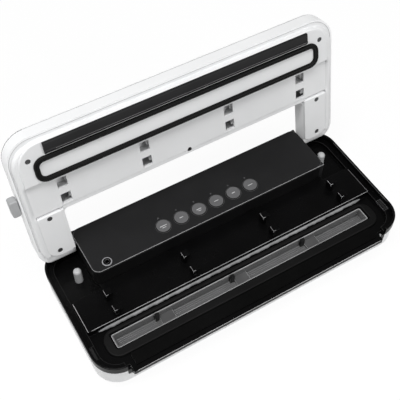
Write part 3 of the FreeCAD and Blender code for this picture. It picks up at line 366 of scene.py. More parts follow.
class Mould:
    """Mesh maker shared by the sub-assemblies."""

    SHARP_DEGREES = 40
    ROD_SIDES = 6

    @staticmethod
    def piece(name: str, shape: Shape, finish: Finish, body: str, smooth: bool = True) -> bpy.types.Object:
        """Make a mesh piece, give it its finish and let it ride.

        Args:
            name: Piece name.
            shape: Points in metres and faces.
            finish: Surface finish.
            body: Body that it moves with.
            smooth: Whether the faces are shaded smooth where they meet at a small angle.

        Returns:
            The new object.
        """
        points, faces = shape
        mesh = bpy.data.meshes.new(name)
        mesh.from_pydata(points, [], faces)
        mesh.validate()
        mesh.update()
        if smooth:
            mesh.shade_smooth()
            mesh.set_sharp_from_angle(angle=math.radians(Mould.SHARP_DEGREES))
        mesh.materials.append(finish.material())
        made = placed(name, mesh)
        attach(made, body)
        LOG.info("piece %s on %s", name, body)
        return made

    @staticmethod
    def ring_faces(rings: int, across: int, closed: bool = False) -> Faces:
        """Faces that join rings of points one after another.

        Args:
            rings: Number of rings.
            across: Points in each ring.
            closed: Whether the last ring joins the first; if not, both end rings get a face.

        Returns:
            Faces by point number.
        """
        faces: Faces = []
        for i in range(rings if closed else rings - 1):
            j = (i + 1) % rings
            for k in range(across):
                m = (k + 1) % across
                faces.append((i * across + k, i * across + m, j * across + m, j * across + k))
        if not closed:
            faces.append(tuple(range(across))[::-1])
            faces.append(tuple((rings - 1) * across + k for k in range(across)))
        return faces

    @staticmethod
    def joined(shapes: Sequence[Shape]) -> Shape:
        """Put several shapes into one.

        Args:
            shapes: Shapes with their own point numbers.

        Returns:
            Points in metres and faces.
        """
        points: list[Point] = []
        faces: Faces = []
        for spots, joins in shapes:
            faces.extend(tuple(len(points) + k for k in face) for face in joins)
            points.extend(spots)
        return points, faces

    @staticmethod
    def lathe(centre: Point, outline: Section, closed: bool = False, steps: int = 40) -> Shape:
        """Turn an outline of radius and height about a vertical axis.

        Args:
            centre: Point in millimetres that heights and radii count from.
            outline: Radius and height pairs in millimetres, from one end to the other.
            closed: Whether the outline closes on itself, as for a ring.
            steps: Points round the axis.

        Returns:
            Points in metres and faces.
        """
        points: list[Point] = []
        for radius, height in outline:
            for k in range(steps):
                turn = math.tau * k / steps
                spot = Vector(centre) + Vector((radius * math.cos(turn), radius * math.sin(turn), height))
                points.append(tuple(spot * MM))
        return points, Mould.ring_faces(len(outline), steps, closed)

    @staticmethod
    def loft(rings: Sequence[tuple[float, Section]]) -> Shape:
        """Join sections of Y and Z pairs that stand at places along X, all in millimetres."""
        points = [(x * MM, y * MM, z * MM) for x, section in rings for y, z in section]
        return points, Mould.ring_faces(len(rings), len(rings[0][1]))

    @staticmethod
    def sweep(path: Path, section: Section, level: float, closed: bool = False) -> Shape:
        """Carry a section along a flat path.

        Args:
            path: Pairs of flat point and outward direction, in millimetres.
            section: Outward distance and height pairs in millimetres.
            level: Height in millimetres that the section's heights count from.
            closed: Whether the path closes on itself.

        Returns:
            Points in metres and faces.
        """
        points: list[Point] = []
        for spot, out in path:
            for across, height in section:
                flat = spot + out * across
                points.append((flat.x * MM, flat.y * MM, (level + height) * MM))
        return points, Mould.ring_faces(len(path), len(section), closed)

    @staticmethod
    def rods(lines: Sequence[Sequence[Point]], radius: float) -> Shape:
        """Thin six-sided rods along straight stretches.

        Args:
            lines: Runs of points in millimetres; each stretch between two points becomes a rod.
            radius: Half thickness in millimetres.

        Returns:
            Points in metres and faces.
        """
        turns = [math.tau * k / Mould.ROD_SIDES for k in range(Mould.ROD_SIDES)]
        shapes: list[Shape] = []
        for line in lines:
            for start, end in zip(line, line[1:]):
                along = (Vector(end) - Vector(start)).normalized()
                side = along.orthogonal().normalized()
                up = along.cross(side)
                outs = [(side * math.cos(turn) + up * math.sin(turn)) * radius for turn in turns]
                points = [tuple((Vector(spot) + out) * MM) for spot in (start, end) for out in outs]
                shapes.append((points, Mould.ring_faces(2, Mould.ROD_SIDES)))
        return Mould.joined(shapes)

    @staticmethod
    def blocks(boxes: Sequence[Box]) -> Shape:
        """Plain blocks from their low and high corners.

        Args:
            boxes: Pairs of corners in millimetres.

        Returns:
            Points in metres and faces.
        """
        shapes: list[Shape] = []
        for (left, near, foot), (right, far, top) in boxes:
            flat = ((left, near), (right, near), (right, far), (left, far))
            points = [(x * MM, y * MM, z * MM) for z in (foot, top) for x, y in flat]
            shapes.append((points, Mould.ring_faces(2, len(flat))))
        return Mould.joined(shapes)

    @staticmethod
    def arc(centre: Vector, radius: float, start: float, end: float, steps: int) -> Path:
        """Arc with the outward direction at each point.

        Args:
            centre: Flat middle of the arc in millimetres.
            radius: Radius in millimetres.
            start: First angle in degrees.
            end: Last angle in degrees.
            steps: Stretches between the points.

        Returns:
            Pairs of flat point and outward direction.
        """
        path: Path = []
        for k in range(steps + 1):
            turn = math.radians(start + (end - start) * k / steps)
            out = Vector((math.cos(turn), math.sin(turn)))
            path.append((centre + out * radius, out))
        return path

    @staticmethod
    def rounded_loop(half_x: float, y_low: float, y_high: float, radius: float, steps: int = 10) -> Path:
        """Rounded rectangle with the outward direction at each point.

        Args:
            half_x: Half length along X in millimetres.
            y_low: Lowest Y in millimetres.
            y_high: Highest Y in millimetres.
            radius: Corner radius in millimetres.
            steps: Stretches on each corner.

        Returns:
            Pairs of flat point and outward direction.
        """
        right, low, high = half_x - radius, y_low + radius, y_high - radius
        loop: Path = []
        for x, y, start in ((right, high, 0), (-right, high, 90), (-right, low, 180), (right, low, 270)):
            loop += Mould.arc(Vector((x, y)), radius, start, start + 90, steps)
        return loop


@dataclass
class LidPose:
    """Place of the lid's pieces, which are drawn closed and rest open."""

    hinge_y_mm: float = 78.0
    hinge_z_mm: float = 64.0
    open_degrees: float = 102.5

    def opened(self, shape: Shape) -> Shape:
        """Turn a closed shape back about the hinge.

        Args:
            shape: Points in metres with the lid closed, and faces.

        Returns:
            The same shape with the lid open.
        """
        points, faces = shape
        pivot = Vector((0, self.hinge_y_mm * MM, self.hinge_z_mm * MM))
        turn = Matrix.Rotation(-math.radians(self.open_degrees), 4, "X")
        return [tuple(pivot + turn @ (Vector(p) - pivot)) for p in points], faces


class Dresser:
    """Gives every solid of the frame its finish."""

    NODES: dict[Finish, tuple[str, ...]] = {
        Finishes.WHITE_SHELL: ("lid_shell", "lower_case"),
        Finishes.PALE_COVER: ("lid_cover",),
        Finishes.GLOSS_BLACK: ("upper_case",),
        Finishes.HOUSING_REFLECTION_BLACK: ("control_housing",),
        Finishes.HOOK_BLACK: ("latch_hooks",),
        Finishes.PANEL_BLACK: ("control_panel",),
        Finishes.BUTTON_GREY: ("button_1", "button_2", "button_3", "button_4", "button_5", "button_6"),
        Finishes.RING_GREY: ("hose_port",),
        Finishes.KNOB_GREY: ("lock_knob",),
        Finishes.POST_GREY: ("plunger_left", "plunger_right"),
        Finishes.BAR_WHITE: ("lock_bar",),
        Finishes.CLEAR_TRAY: ("drip_tray",),
        Finishes.TAB_BLACK: ("tray_tabs",),
        Finishes.SEAL_BLACK: ("lower_gasket", "lid_gasket"),
        Finishes.STRIP_BLACK: ("pressure_strip",),
        Finishes.SEAL_GREY: ("rear_seal",),
        Finishes.TAPE_BLACK: ("heater_tape",),
        Finishes.HEATER_METAL: ("heater_bar",),
        Finishes.STEEL: ("hinge_pins", "base_screws", "plunger_spring_left", "plunger_spring_right",
                         "inlet_pins"),
        Finishes.SHADED_SUNK_STEEL: ("lid_screws",),
        Finishes.FOOT_RUBBER: ("feet",),
        Finishes.INLET_BLACK: ("power_inlet",),
        Finishes.PUMP_BLACK: ("vacuum_pump", "lid_switches", "tact_switches"),
        Finishes.MOTOR_METAL: ("pump_motor",),
        Finishes.BOARD_GREEN: ("control_board", "power_board"),
        Finishes.CORE_METAL: ("transformer",),
        Finishes.HOSE_CLEAR: ("vacuum_hose",),
    }

    def dress(self) -> None:
        """Put each finish on its solids."""
        finish_of = {node: finish for finish, nodes in self.NODES.items() for node in nodes}
        for name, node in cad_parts.items():
            finish = finish_of[name]
            node.data.materials.clear()
            node.data.materials.append(finish.material())
            LOG.info("solid %s in %s", name, finish.slot)


@dataclass
class LidSeals:
    """Loop gasket and pressure strip on the lid's inner face."""

    pose: LidPose
    face_mm: float = 48.0
    loop_half_mm: float = 172.5
    loop_front_mm: float = -61.8
    loop_rear_mm: float = -36.2
    loop_corner_mm: float = 9.0
    lips_mm: Section = ((-3.0, 0.0), (-3.0, -1.7), (-2.5, -2.6), (-1.7, -3.0), (-0.9, -2.7), (-0.3, -2.1),
                        (0.3, -2.1), (0.9, -2.7), (1.7, -3.0), (2.5, -2.6), (3.0, -1.7), (3.0, 0.0))
    strip_half_mm: float = 160.0
    strip_front_mm: float = -80.6
    strip_mm: Section = ((0.0, 0.0), (0.0, -2.4), (0.5, -3.3), (1.4, -3.7), (8.8, -3.7), (9.6, -4.5),
                         (10.0, -4.7), (11.2, -4.2), (13.2, -2.6), (14.0, -1.6), (14.0, 0.0))
    # share of half the length, and how much of its height the strip has there
    strip_swell: Pairs = ((-1.0, 0.82), (-0.998, 0.95), (-0.992, 1.0), (-0.5, 1.0), (0.0, 1.0), (0.5, 1.0),
                          (0.992, 1.0), (0.998, 0.95), (1.0, 0.82))
    # painted highlight line along the crest of the strip's step
    crest_y_mm: float = 9.7
    crest_z_mm: float = -4.6
    crest_inset_mm: Span = (12.0, 1.0)
    crest_radius_mm: float = 0.2

    def gasket(self) -> None:
        """Twin-lipped loop that stands for the solid gasket."""
        loop = Mould.rounded_loop(self.loop_half_mm, self.loop_front_mm, self.loop_rear_mm,
                                  self.loop_corner_mm)
        shape = Mould.sweep(loop, self.lips_mm, self.face_mm, True)
        made = Mould.piece("loop_gasket", self.pose.opened(shape), Finishes.SEAL_BLACK, "lid")
        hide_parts("lid_gasket")

    def strip(self) -> None:
        """Silicone strip with a low step along it, which stands for the solid strip."""
        rings = []
        for share, swell in self.strip_swell:
            section = [(self.strip_front_mm + y, self.face_mm + z * swell) for y, z in self.strip_mm]
            rings.append((share * self.strip_half_mm, section))
        shape = Mould.loft(rings)
        made = Mould.piece("seal_strip", self.pose.opened(shape), Finishes.STRIP_BLACK, "lid")
        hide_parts("pressure_strip")

    def strip_highlight(self) -> None:
        """Painted highlight along the crest of the strip's step."""
        y, z = self.strip_front_mm + self.crest_y_mm, self.face_mm + self.crest_z_mm
        left, right = self.crest_inset_mm
        line = [(-self.strip_half_mm + left, y, z), (self.strip_half_mm - right, y, z)]
        shape = Mould.rods([line], self.crest_radius_mm)
        Mould.piece("strip_highlight", self.pose.opened(shape), Finishes.HIGHLIGHT_STRIP, "lid")

    def build(self) -> None:
        """All seals of the lid."""
        self.gasket()
        self.strip()
        self.strip_highlight()


@dataclass
class LidTrim:
    """Soft border and sills of the lid's cover, seams of its shell and the painted shade of its spare hole.
    """

    pose: LidPose
    half_mm: float = 200.0
    front_mm: float = -88.0
    corner_mm: float = 30.0
    rear_mm: float = 60.0
    corner_steps: int = 12
    seam_level_mm: float = 70.2
    # distance off the wall in millimetres, and share of the seam's height
    seam_profile: Pairs = ((-0.15, -0.5), (0.03, -0.5), (0.06, 0.0), (0.03, 0.5), (-0.15, 0.5))
    left_seam_mm: float = 0.8
    front_seam_mm: float = 0.6
    front_seam_bend: int = 8
    joint_level_mm: float = 54.28
    joint_inset_mm: float = 2.3
    joint_mm: Section = ((-0.2, 0.1), (-0.2, -0.04), (0.2, -0.04), (0.2, 0.1))
    band_level_mm: float = 52.5
    band_span_mm: Span = (-33.5, 13.5)
    band_fade_mm: float = 5.0
    sill_level_mm: float = 54.6
    sill_span_mm: Span = (10.3, 14.7)
    sill_gap_half_mm: float = 3.0
    sill_gap_front_mm: float = 12.2
    arm_face_mm: float = 50.4
    arm_inner_mm: float = 157.8
    arm_sill_span_mm: Span = (13.6, 72.0)
    arm_sill_sides_mm: Span = (0.2, 3.6)
    flank_half_mm: float = 196.4
    flank_front_mm: float = -54.5
    flank_rear_mm: float = 59.0
    flank_corner_mm: float = 26.4
    # outward direction at the arm's end, along the side and at the front corner, for the right border
    flank_degrees: tuple[int, int, int] = (30, 0, -84)
    # stretches on the bend, on the straight run and on the corner
    flank_steps: tuple[int, int, int] = (5, 40, 14)
    flank_level_mm: float = 49.5
    flank_rise_mm: float = 0.8
    flank_rise_start_mm: float = -30.0
    flank_rise_length_mm: float = 40.0
    flank_band_gap_mm: float = 0.1
    # distance outward and height in millimetres, and share of the drop into the band
    flank_profile: Sequence[Triple] = ((0.0, 3.6, 0.0), (-0.4, 1.8, 0.0), (-1.4, 0.5, 0.0), (-2.8, 0.0, 0.0),
                                       (-4.4, 0.0, 0.15), (-5.8, 0.0, 0.6), (-6.9, 0.0, 1.0))
    # painted shade in and round the spare screw hole
    hole_y_mm: float = 10.0
    hole_mm: Section = ((1.5, 4.0), (1.5, 0.2), (1.7, -0.06), (2.5, -0.06), (2.6, 0.03), (1.76, 0.06),
                        (1.76, 4.0))

    def outline(self, inset: float) -> Path:
        """Left side, front and right side of the lid.

        Args:
            inset: Distance in millimetres that the line is drawn in from the shell's wall.

        Returns:
            Pairs of flat point and outward direction.
        """
        path: Path = [(Vector((-self.half_mm + inset, self.rear_mm)), Vector((-1, 0)))]
        for side, start in ((-1, 180), (1, 270)):
            hub = Vector((side * (self.half_mm - self.corner_mm), self.front_mm + self.corner_mm))
            path += Mould.arc(hub, self.corner_mm - inset, start, start + 90, self.corner_steps)
        path.append((Vector((self.half_mm - inset, self.rear_mm)), Vector((1, 0))))
        return path

    def seam(self, name: str, path: Path, height: float, finish: Finish) -> None:
        """Thin seam that lies on the shell's wall.

        Args:
            name: Piece name.
            path: Outline of the shell where the seam runs.
            height: Height of the seam in millimetres.
            finish: Finish of the seam.
        """
        section = [(across, share * height) for across, share in self.seam_profile]
        shape = Mould.sweep(path, section, self.seam_level_mm)
        Mould.piece(name, self.pose.opened(shape), finish, "lid")

    def seams(self) -> None:
        """Seam along the left side and round the front, and the joint between shell and cover."""
        wall = self.outline(0.0)
        bend = self.corner_steps + 1
        front = wall[bend:bend + self.front_seam_bend + 1]
        self.seam("shell_seam_left", wall[:bend + 1], self.left_seam_mm, Finishes.SEAM_DARK)
        self.seam("shell_seam_front", front, self.front_seam_mm, Finishes.SEAM_PALE)
        shape = Mould.sweep(self.outline(self.joint_inset_mm), self.joint_mm, self.joint_level_mm)
        Mould.piece("cover_joint", self.pose.opened(shape), Finishes.SEAM_PALE, "lid")

    def flank_path(self, side: int) -> Path:
        """Line of the soft border from the arm's end to the lid's front corner.

        Args:
            side: 1 for the right and -1 for the left.

        Returns:
            Pairs of flat point and outward direction.
        """
        hub_x = side * (self.flank_half_mm - self.flank_corner_mm)
        first, middle, last = (90 - side * (90 - turn) for turn in self.flank_degrees)
        bend, count, corner = self.flank_steps
        rear = Mould.arc(Vector((hub_x, self.flank_rear_mm)), self.flank_corner_mm, first, middle, bend)
        front = Mould.arc(Vector((hub_x, self.flank_front_mm)), self.flank_corner_mm, middle, last, corner)
        start, end, out = rear[-1][0], front[0][0], Vector((side, 0))
        return rear + [(start.lerp(end, k / count), out) for k in range(1, count)] + front

    @staticmethod
    def ramp(place: float, start: float, length: float) -> float:
        """Share from 0 to 1 that grows along a stretch."""
        return min(1.0, max(0.0, (place - start) / length))

    def in_band(self, y: float) -> float:
        """Share of the recess at a place along the lid, soft at both ends."""
        front, rear = self.band_span_mm
        return self.ramp(y, front, self.band_fade_mm) * self.ramp(-y, -rear, self.band_fade_mm)

    def flank(self, name: str, side: int) -> None:
        """Soft raised border between the cover's face and the shell's rim.

        Args:
            name: Piece name.
            side: 1 for the right and -1 for the left.
        """
        path = self.flank_path(side)
        inner = self.flank_profile[-1][0]
        points: list[Point] = []
        for spot, out in path:
            rise = self.ramp(spot.y, self.flank_rise_start_mm, self.flank_rise_length_mm)
            top = self.flank_level_mm + self.flank_rise_mm * rise
            drop = (self.band_level_mm + self.flank_band_gap_mm - top) * self.in_band(spot.y)
            section = [(across, top + lift + share * drop) for across, lift, share in self.flank_profile]
            section = [(0.0, self.sill_level_mm)] + section + [(inner, self.sill_level_mm)]
            points += Mould.sweep([(spot, out)], section, 0.0)[0]
        shape = points, Mould.ring_faces(len(path), len(self.flank_profile) + 2)
        Mould.piece(name, self.pose.opened(shape), Finishes.PALE_COVER, "lid")

    def sills(self) -> None:
        """Flush edges of the cover along the band and down the inner side of the arms."""
        inner, gap = self.arm_inner_mm, self.sill_gap_half_mm
        foot, top = self.band_level_mm, self.sill_level_mm
        front, rear = self.sill_span_mm
        arm_front, arm_rear = self.arm_sill_span_mm
        near, far = (inner + side for side in self.arm_sill_sides_mm)
        boxes: list[Box] = [
            ((-inner, front, foot), (-gap, rear, top)),
            ((-gap, self.sill_gap_front_mm, foot), (gap, rear, top)),
            ((gap, front, foot), (inner, rear, top)),
            ((near, arm_front, self.arm_face_mm), (far, arm_rear, top)),
            ((-far, arm_front, self.arm_face_mm), (-near, arm_rear, top)),
        ]
        shape = self.pose.opened(Mould.blocks(boxes))
        Mould.piece("cover_sills", shape, Finishes.PALE_COVER, "lid", smooth=False)

    def spare_hole(self) -> None:
        """Painted shade: near-black walls and rim of the screw hole in the middle of the band."""
        shape = Mould.lathe((0.0, self.hole_y_mm, self.band_level_mm), self.hole_mm, True)
        Mould.piece("spare_hole_shade", self.pose.opened(shape), Finishes.HOLE_SHADE, "lid")

    def build(self) -> None:
        """All trim of the lid."""
        self.flank("cover_flank_left", -1)
        self.flank("cover_flank_right", 1)
        self.sills()
        self.seams()
        self.spare_hole()


@dataclass
class Channel:
    """Seal bead at the foot of the deck wall, and the painted edge highlights, steps and ribs of the drip
    tray.
    """

    wall_y_mm: float = -26.6
    floor_mm: float = 41.3
    bead_half_mm: float = 178.0
    bead_size_mm: float = 3.0
    bead_rings: int = 240
    bead_taper_mm: float = 9.0
    bead_tip: float = 0.35
    bead_reach: float = 0.74
    bead_ripple: float = 0.28
    # share, turn per millimetre and start of each wave along the front edge
    bead_waves: Sequence[Triple] = ((0.34, 0.23, 0.0), (0.30, 0.47, 1.1), (0.26, 0.93, 0.4))
    # shares of the reach from the wall and of the height
    bead_profile: Pairs = ((0.0, 0.0), (0.0, 1.0), (0.35, 0.98), (0.75, 0.7), (0.98, 0.25), (1.0, 0.0))
    tray_half_mm: float = 169.2
    tray_front_mm: float = -55.7
    tray_rear_mm: float = -37.3
    tray_floor_mm: float = 31.5
    tray_wall_mm: float = 2.5
    # painted highlight strip round the tray's lip
    rim_level_mm: float = 42.1
    rim_inset_mm: float = 0.6
    rim_corner_mm: float = 1.8
    rim_corner_steps: int = 6
    rim_mm: Section = ((-0.38, 0.0), (-0.28, 0.1), (0.0, 0.15), (0.28, 0.1), (0.38, 0.0), (0.0, -0.1))
    step_top_mm: float = 35.3
    step_length_mm: float = 17.0
    step_inset_mm: float = 0.3
    step_skin_mm: Span = (-0.05, 0.08)
    # painted highlight lines round each step
    step_edge_mm: float = 0.16
    step_starts_mm: tuple[float, ...] = (-111.3, -13.5, 84.3)
    rib_rows_mm: tuple[float, ...] = (-46.0, -43.6, -41.2)
    rib_spans_mm: Pairs = ((-165.0, -113.0), (-92.5, -15.0), (5.0, 83.0), (103.0, 165.0))
    rib_slope_mm: float = 1.5
    rib_tip: float = 0.1
    rib_mm: Section = ((-0.3, 0.0), (-0.2, 0.6), (0.0, 0.8), (0.2, 0.6), (0.3, 0.0))

    def bead(self) -> None:
        """Grey bead with an uneven front edge and tapered ends, which stands for the solid bead."""
        rings = []
        for k in range(self.bead_rings + 1):
            x = self.bead_half_mm * (2 * k / self.bead_rings - 1)
            wave = sum(height * math.sin(x * pitch + start) for height, pitch, start in self.bead_waves)
            end = min(1.0, (self.bead_half_mm - abs(x)) / self.bead_taper_mm)
            size = self.bead_size_mm * (self.bead_tip + (1 - self.bead_tip) * end)
            reach = min(self.bead_size_mm, size * (self.bead_reach + self.bead_ripple * wave))
            rings.append((x, [(self.wall_y_mm - reach * out, self.floor_mm + size * up)
                              for out, up in self.bead_profile]))
        made = Mould.piece("wall_bead", Mould.loft(rings), Finishes.SEAL_GREY, "base")
        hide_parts("rear_seal")

    def tray_rim_highlight(self) -> None:
        """Painted highlight: bright strip round the tray's lip, where its clear edge gathers the light."""
        inset = self.rim_inset_mm
        loop = Mould.rounded_loop(self.tray_half_mm - inset, self.tray_front_mm + inset,
                                  self.tray_rear_mm - inset, self.rim_corner_mm, self.rim_corner_steps)
        shape = Mould.sweep(loop, self.rim_mm, self.rim_level_mm, True)
        Mould.piece("tray_rim_highlight", shape, Finishes.HIGHLIGHT_TRAY, "tray")

    def tray_steps(self) -> None:
        """Smoky top and painted highlight outline of the tray's three steps."""
        boxes: list[Box] = []
        lines: list[list[Point]] = []
        near, far = self.tray_front_mm + self.tray_wall_mm, self.tray_rear_mm - self.tray_wall_mm
        top, inset = self.step_top_mm, self.step_inset_mm
        under, over = self.step_skin_mm
        for start in self.step_starts_mm:
            end = start + self.step_length_mm
            boxes.append(((start + inset, near, top + under), (end - inset, far, top + over)))
            lines.append([(start, far, top), (start, near, top), (end, near, top), (end, far, top)])
        Mould.piece("tray_steps", Mould.blocks(boxes), Finishes.STEP_SMOKE, "tray", smooth=False)
        Mould.piece("tray_step_highlights", Mould.rods(lines, self.step_edge_mm), Finishes.HIGHLIGHT_TRAY, "tray")

    def tray_ribs(self) -> None:
        """Drain ribs along the tray's floor, broken by its three steps."""
        slope, tip = self.rib_slope_mm, self.rib_tip
        for number, row in enumerate(self.rib_rows_mm, start=1):
            shapes = []
            for start, end in self.rib_spans_mm:
                rises = ((start, tip), (start + slope, 1.0), (end - slope, 1.0), (end, tip))
                shapes.append(Mould.loft([
                    (x, [(row + across, self.tray_floor_mm + up * rise) for across, up in self.rib_mm])
                    for x, rise in rises]))
            Mould.piece(f"tray_rib_{number}", Mould.joined(shapes), Finishes.RIB_TRAY, "tray")

    def build(self) -> None:
        """All pieces of the channel."""
        self.bead()
        self.tray_rim_highlight()
        self.tray_steps()
        self.tray_ribs()


@dataclass
class DeckTrim:
    """Painted highlights along the edges of the black deck, its hooks, its rim and its apron."""

    deck_half_mm: float = 189.5
    deck_front_mm: float = -26.6
    deck_rear_mm: float = 16.7
    deck_top_mm: float = 50.0
    deck_corner_mm: float = 4.0
    # painted highlight strips along the deck's and the apron's edges
    edge_stop_mm: float = 3.0
    edge_width_mm: float = 0.6
    # share of the width, and height in millimetres
    edge_profile: Pairs = ((0.0, -0.05), (0.0, 0.06), (0.3, 0.14), (0.7, 0.12), (1.0, 0.0), (0.6, -0.1))
    # share of the length, and how much of its section the strip has there
    edge_swell: Pairs = ((0.0, 0.5), (0.01, 1.0), (0.5, 1.0), (0.99, 1.0), (1.0, 0.5))
    apron_half_mm: float = 166.0
    apron_front_mm: float = -88.5
    apron_top_mm: float = 41.3
    # painted highlight lines on the hooks, the right rim and its bay
    line_mm: float = 0.2
    hook_spots_mm: tuple[float, ...] = (-151.8, -53.8, 53.8, 151.8)
    hook_rows_mm: tuple[float, ...] = (-20.0, 1.6)
    hook_top_mm: float = 63.0
    hook_side_mm: float = 3.0
    hook_half_mm: float = 4.25
    hook_stop_mm: float = 1.0
    hook_line_mm: float = 3.2
    bay_x_mm: Span = (190.5, 196.5)
    bay_y_mm: Span = (-58.0, -42.0)
    bay_top_mm: float = 46.5
    rim_x_mm: float = 197.1
    rim_level_mm: float = 53.75
    rim_span_mm: Span = (-52.0, 56.0)
    cheek_span_mm: Span = (166.4, 171.0)
    cheek_front_mm: float = -84.3
    cheek_back_mm: float = -83.52
    cheek_foot_mm: float = 35.0
    cheek_top_mm: float = 44.2
    ledge_back_mm: float = -80.9
    ledge_mm: Span = (44.02, 44.25)

    def edge(self, name: str, start: Point, end: Point, inward: Point, finish: Finish) -> None:
        """Low rounded strip of painted highlight along a straight edge.

        Args:
            name: Piece name.
            start: First end in millimetres, on the edge.
            end: Last end in millimetres, on the edge.
            inward: Direction from the edge onto the surface.
            finish: Finish of the edge.
        """
        points: list[Point] = []
        for share, swell in self.edge_swell:
            spot = Vector(start).lerp(Vector(end), share)
            for across, height in self.edge_profile:
                reach = Vector(inward) * across * self.edge_width_mm * swell
                points.append(tuple((spot + reach + Vector((0, 0, height * swell))) * MM))
        shape = points, Mould.ring_faces(len(self.edge_swell), len(self.edge_profile))
        Mould.piece(name, shape, finish, "base")

    def edges(self) -> None:
        """Painted highlights on the edges of the deck and of the apron."""
        bright, dim = Finishes.HIGHLIGHT_BLACK, Finishes.HIGHLIGHT_DIM
        half, front, top = self.deck_half_mm, self.deck_front_mm, self.deck_top_mm
        start, rear = -half + self.deck_corner_mm, self.deck_rear_mm - self.edge_stop_mm
        self.edge("deck_highlight_front", (start, front, top), (half, front, top), (0, 1, 0), bright)
        self.edge("deck_highlight_left", (-half, front, top), (-half, rear, top), (1, 0, 0), bright)
        self.edge("deck_highlight_right", (half, front, top), (half, rear, top), (-1, 0, 0), dim)
        end, lip, level = self.apron_half_mm - self.edge_stop_mm, self.apron_front_mm, self.apron_top_mm
        self.edge("apron_highlight", (-end, lip, level), (end, lip, level), (0, 1, 0), bright)

    def hook_highlights(self) -> None:
        """Painted highlight lines on the corners of the eight hooks."""
        lines: list[list[Point]] = []
        top, length = self.hook_top_mm, self.hook_line_mm
        for x in self.hook_spots_mm:
            for y in self.hook_rows_mm:
                left, near, far = x - self.hook_side_mm, y - self.hook_half_mm, y + self.hook_half_mm
                corner = (left, near, top)
                lines.append([(left, far - self.hook_stop_mm, top), corner, (left + length, near, top)])
                lines.append([corner, (left, near, top - length)])
        Mould.piece("hook_highlights", Mould.rods(lines, self.line_mm), Finishes.HIGHLIGHT_BLACK, "base")

    def rim_highlights(self) -> None:
        """Painted highlight lines on the right rim and round the bay in its ledge."""
        left, right = self.bay_x_mm
        near, far = self.bay_y_mm
        corners = ((left, far), (left, near), (right, near), (right, far), (left, far))
        bay = [(x, y, self.bay_top_mm) for x, y in corners]
        rim = [(self.rim_x_mm, y, self.rim_level_mm) for y in self.rim_span_mm]
        Mould.piece("rim_highlights", Mould.rods([bay, rim], self.line_mm), Finishes.HIGHLIGHT_DIM, "base")

    def cheeks(self) -> None:
        """Black cheeks that close the rim's ends beside the apron."""
        boxes: list[Box] = []
        inner, outer = self.cheek_span_mm
        under, over = self.ledge_mm
        front = self.cheek_front_mm
        for low, high in ((-outer, -inner), (inner, outer)):
            boxes.append(((low, front, self.cheek_foot_mm), (high, self.cheek_back_mm, self.cheek_top_mm)))
            boxes.append(((low, front, under), (high, self.ledge_back_mm, over)))
        Mould.piece("rim_cheeks", Mould.blocks(boxes), Finishes.HOOK_BLACK, "base", smooth=False)

    def build(self) -> None:
        """All trim of the deck."""
        self.edges()
        self.hook_highlights()
        self.rim_highlights()
        self.cheeks()


@dataclass
class SprungPosts:
    """Coil springs under the two posts, which the closing lid presses down."""

    spread_mm: float = 168.5
    row_mm: float = 44.0
    seat_mm: float = 5.5
    length_mm: float = 28.2
    travel_mm: float = 12.0
    coil_mm: float = 3.9
    wire_mm: float = 0.4
    turns: int = 5
    turn_steps: int = 24
    wire_sides: int = 8

    def spring(self, side: str, x: float) -> None:
        """Wire coil that stands for the solid spring.

        Args:
            side: Side of the post, left or right.
            x: Middle of the coil along X in millimetres.
        """
        steps = self.turn_steps * self.turns
        climb = self.length_mm - 2 * self.wire_mm
        points: list[Point] = []
        for k in range(steps + 1):
            turn = math.tau * self.turns * k / steps
            out = Vector((math.cos(turn), math.sin(turn), 0))
            level = self.seat_mm + self.wire_mm + climb * k / steps
            centre = Vector((x, self.row_mm, level)) + out * self.coil_mm
            for c in range(self.wire_sides):
                angle = math.tau * c / self.wire_sides
                reach = out * math.cos(angle) + Vector((0, 0, math.sin(angle)))
                points.append(tuple((centre + reach * self.wire_mm) * MM))
        shape = points, Mould.ring_faces(steps + 1, self.wire_sides)
        made = Mould.piece(f"post_coil_{side}", shape, Finishes.STEEL, "base")
        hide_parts(f"plunger_spring_{side}")
        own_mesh(made)

    def build(self) -> None:
        """Both springs."""
        self.spring("left", -self.spread_mm)
        self.spring("right", self.spread_mm)


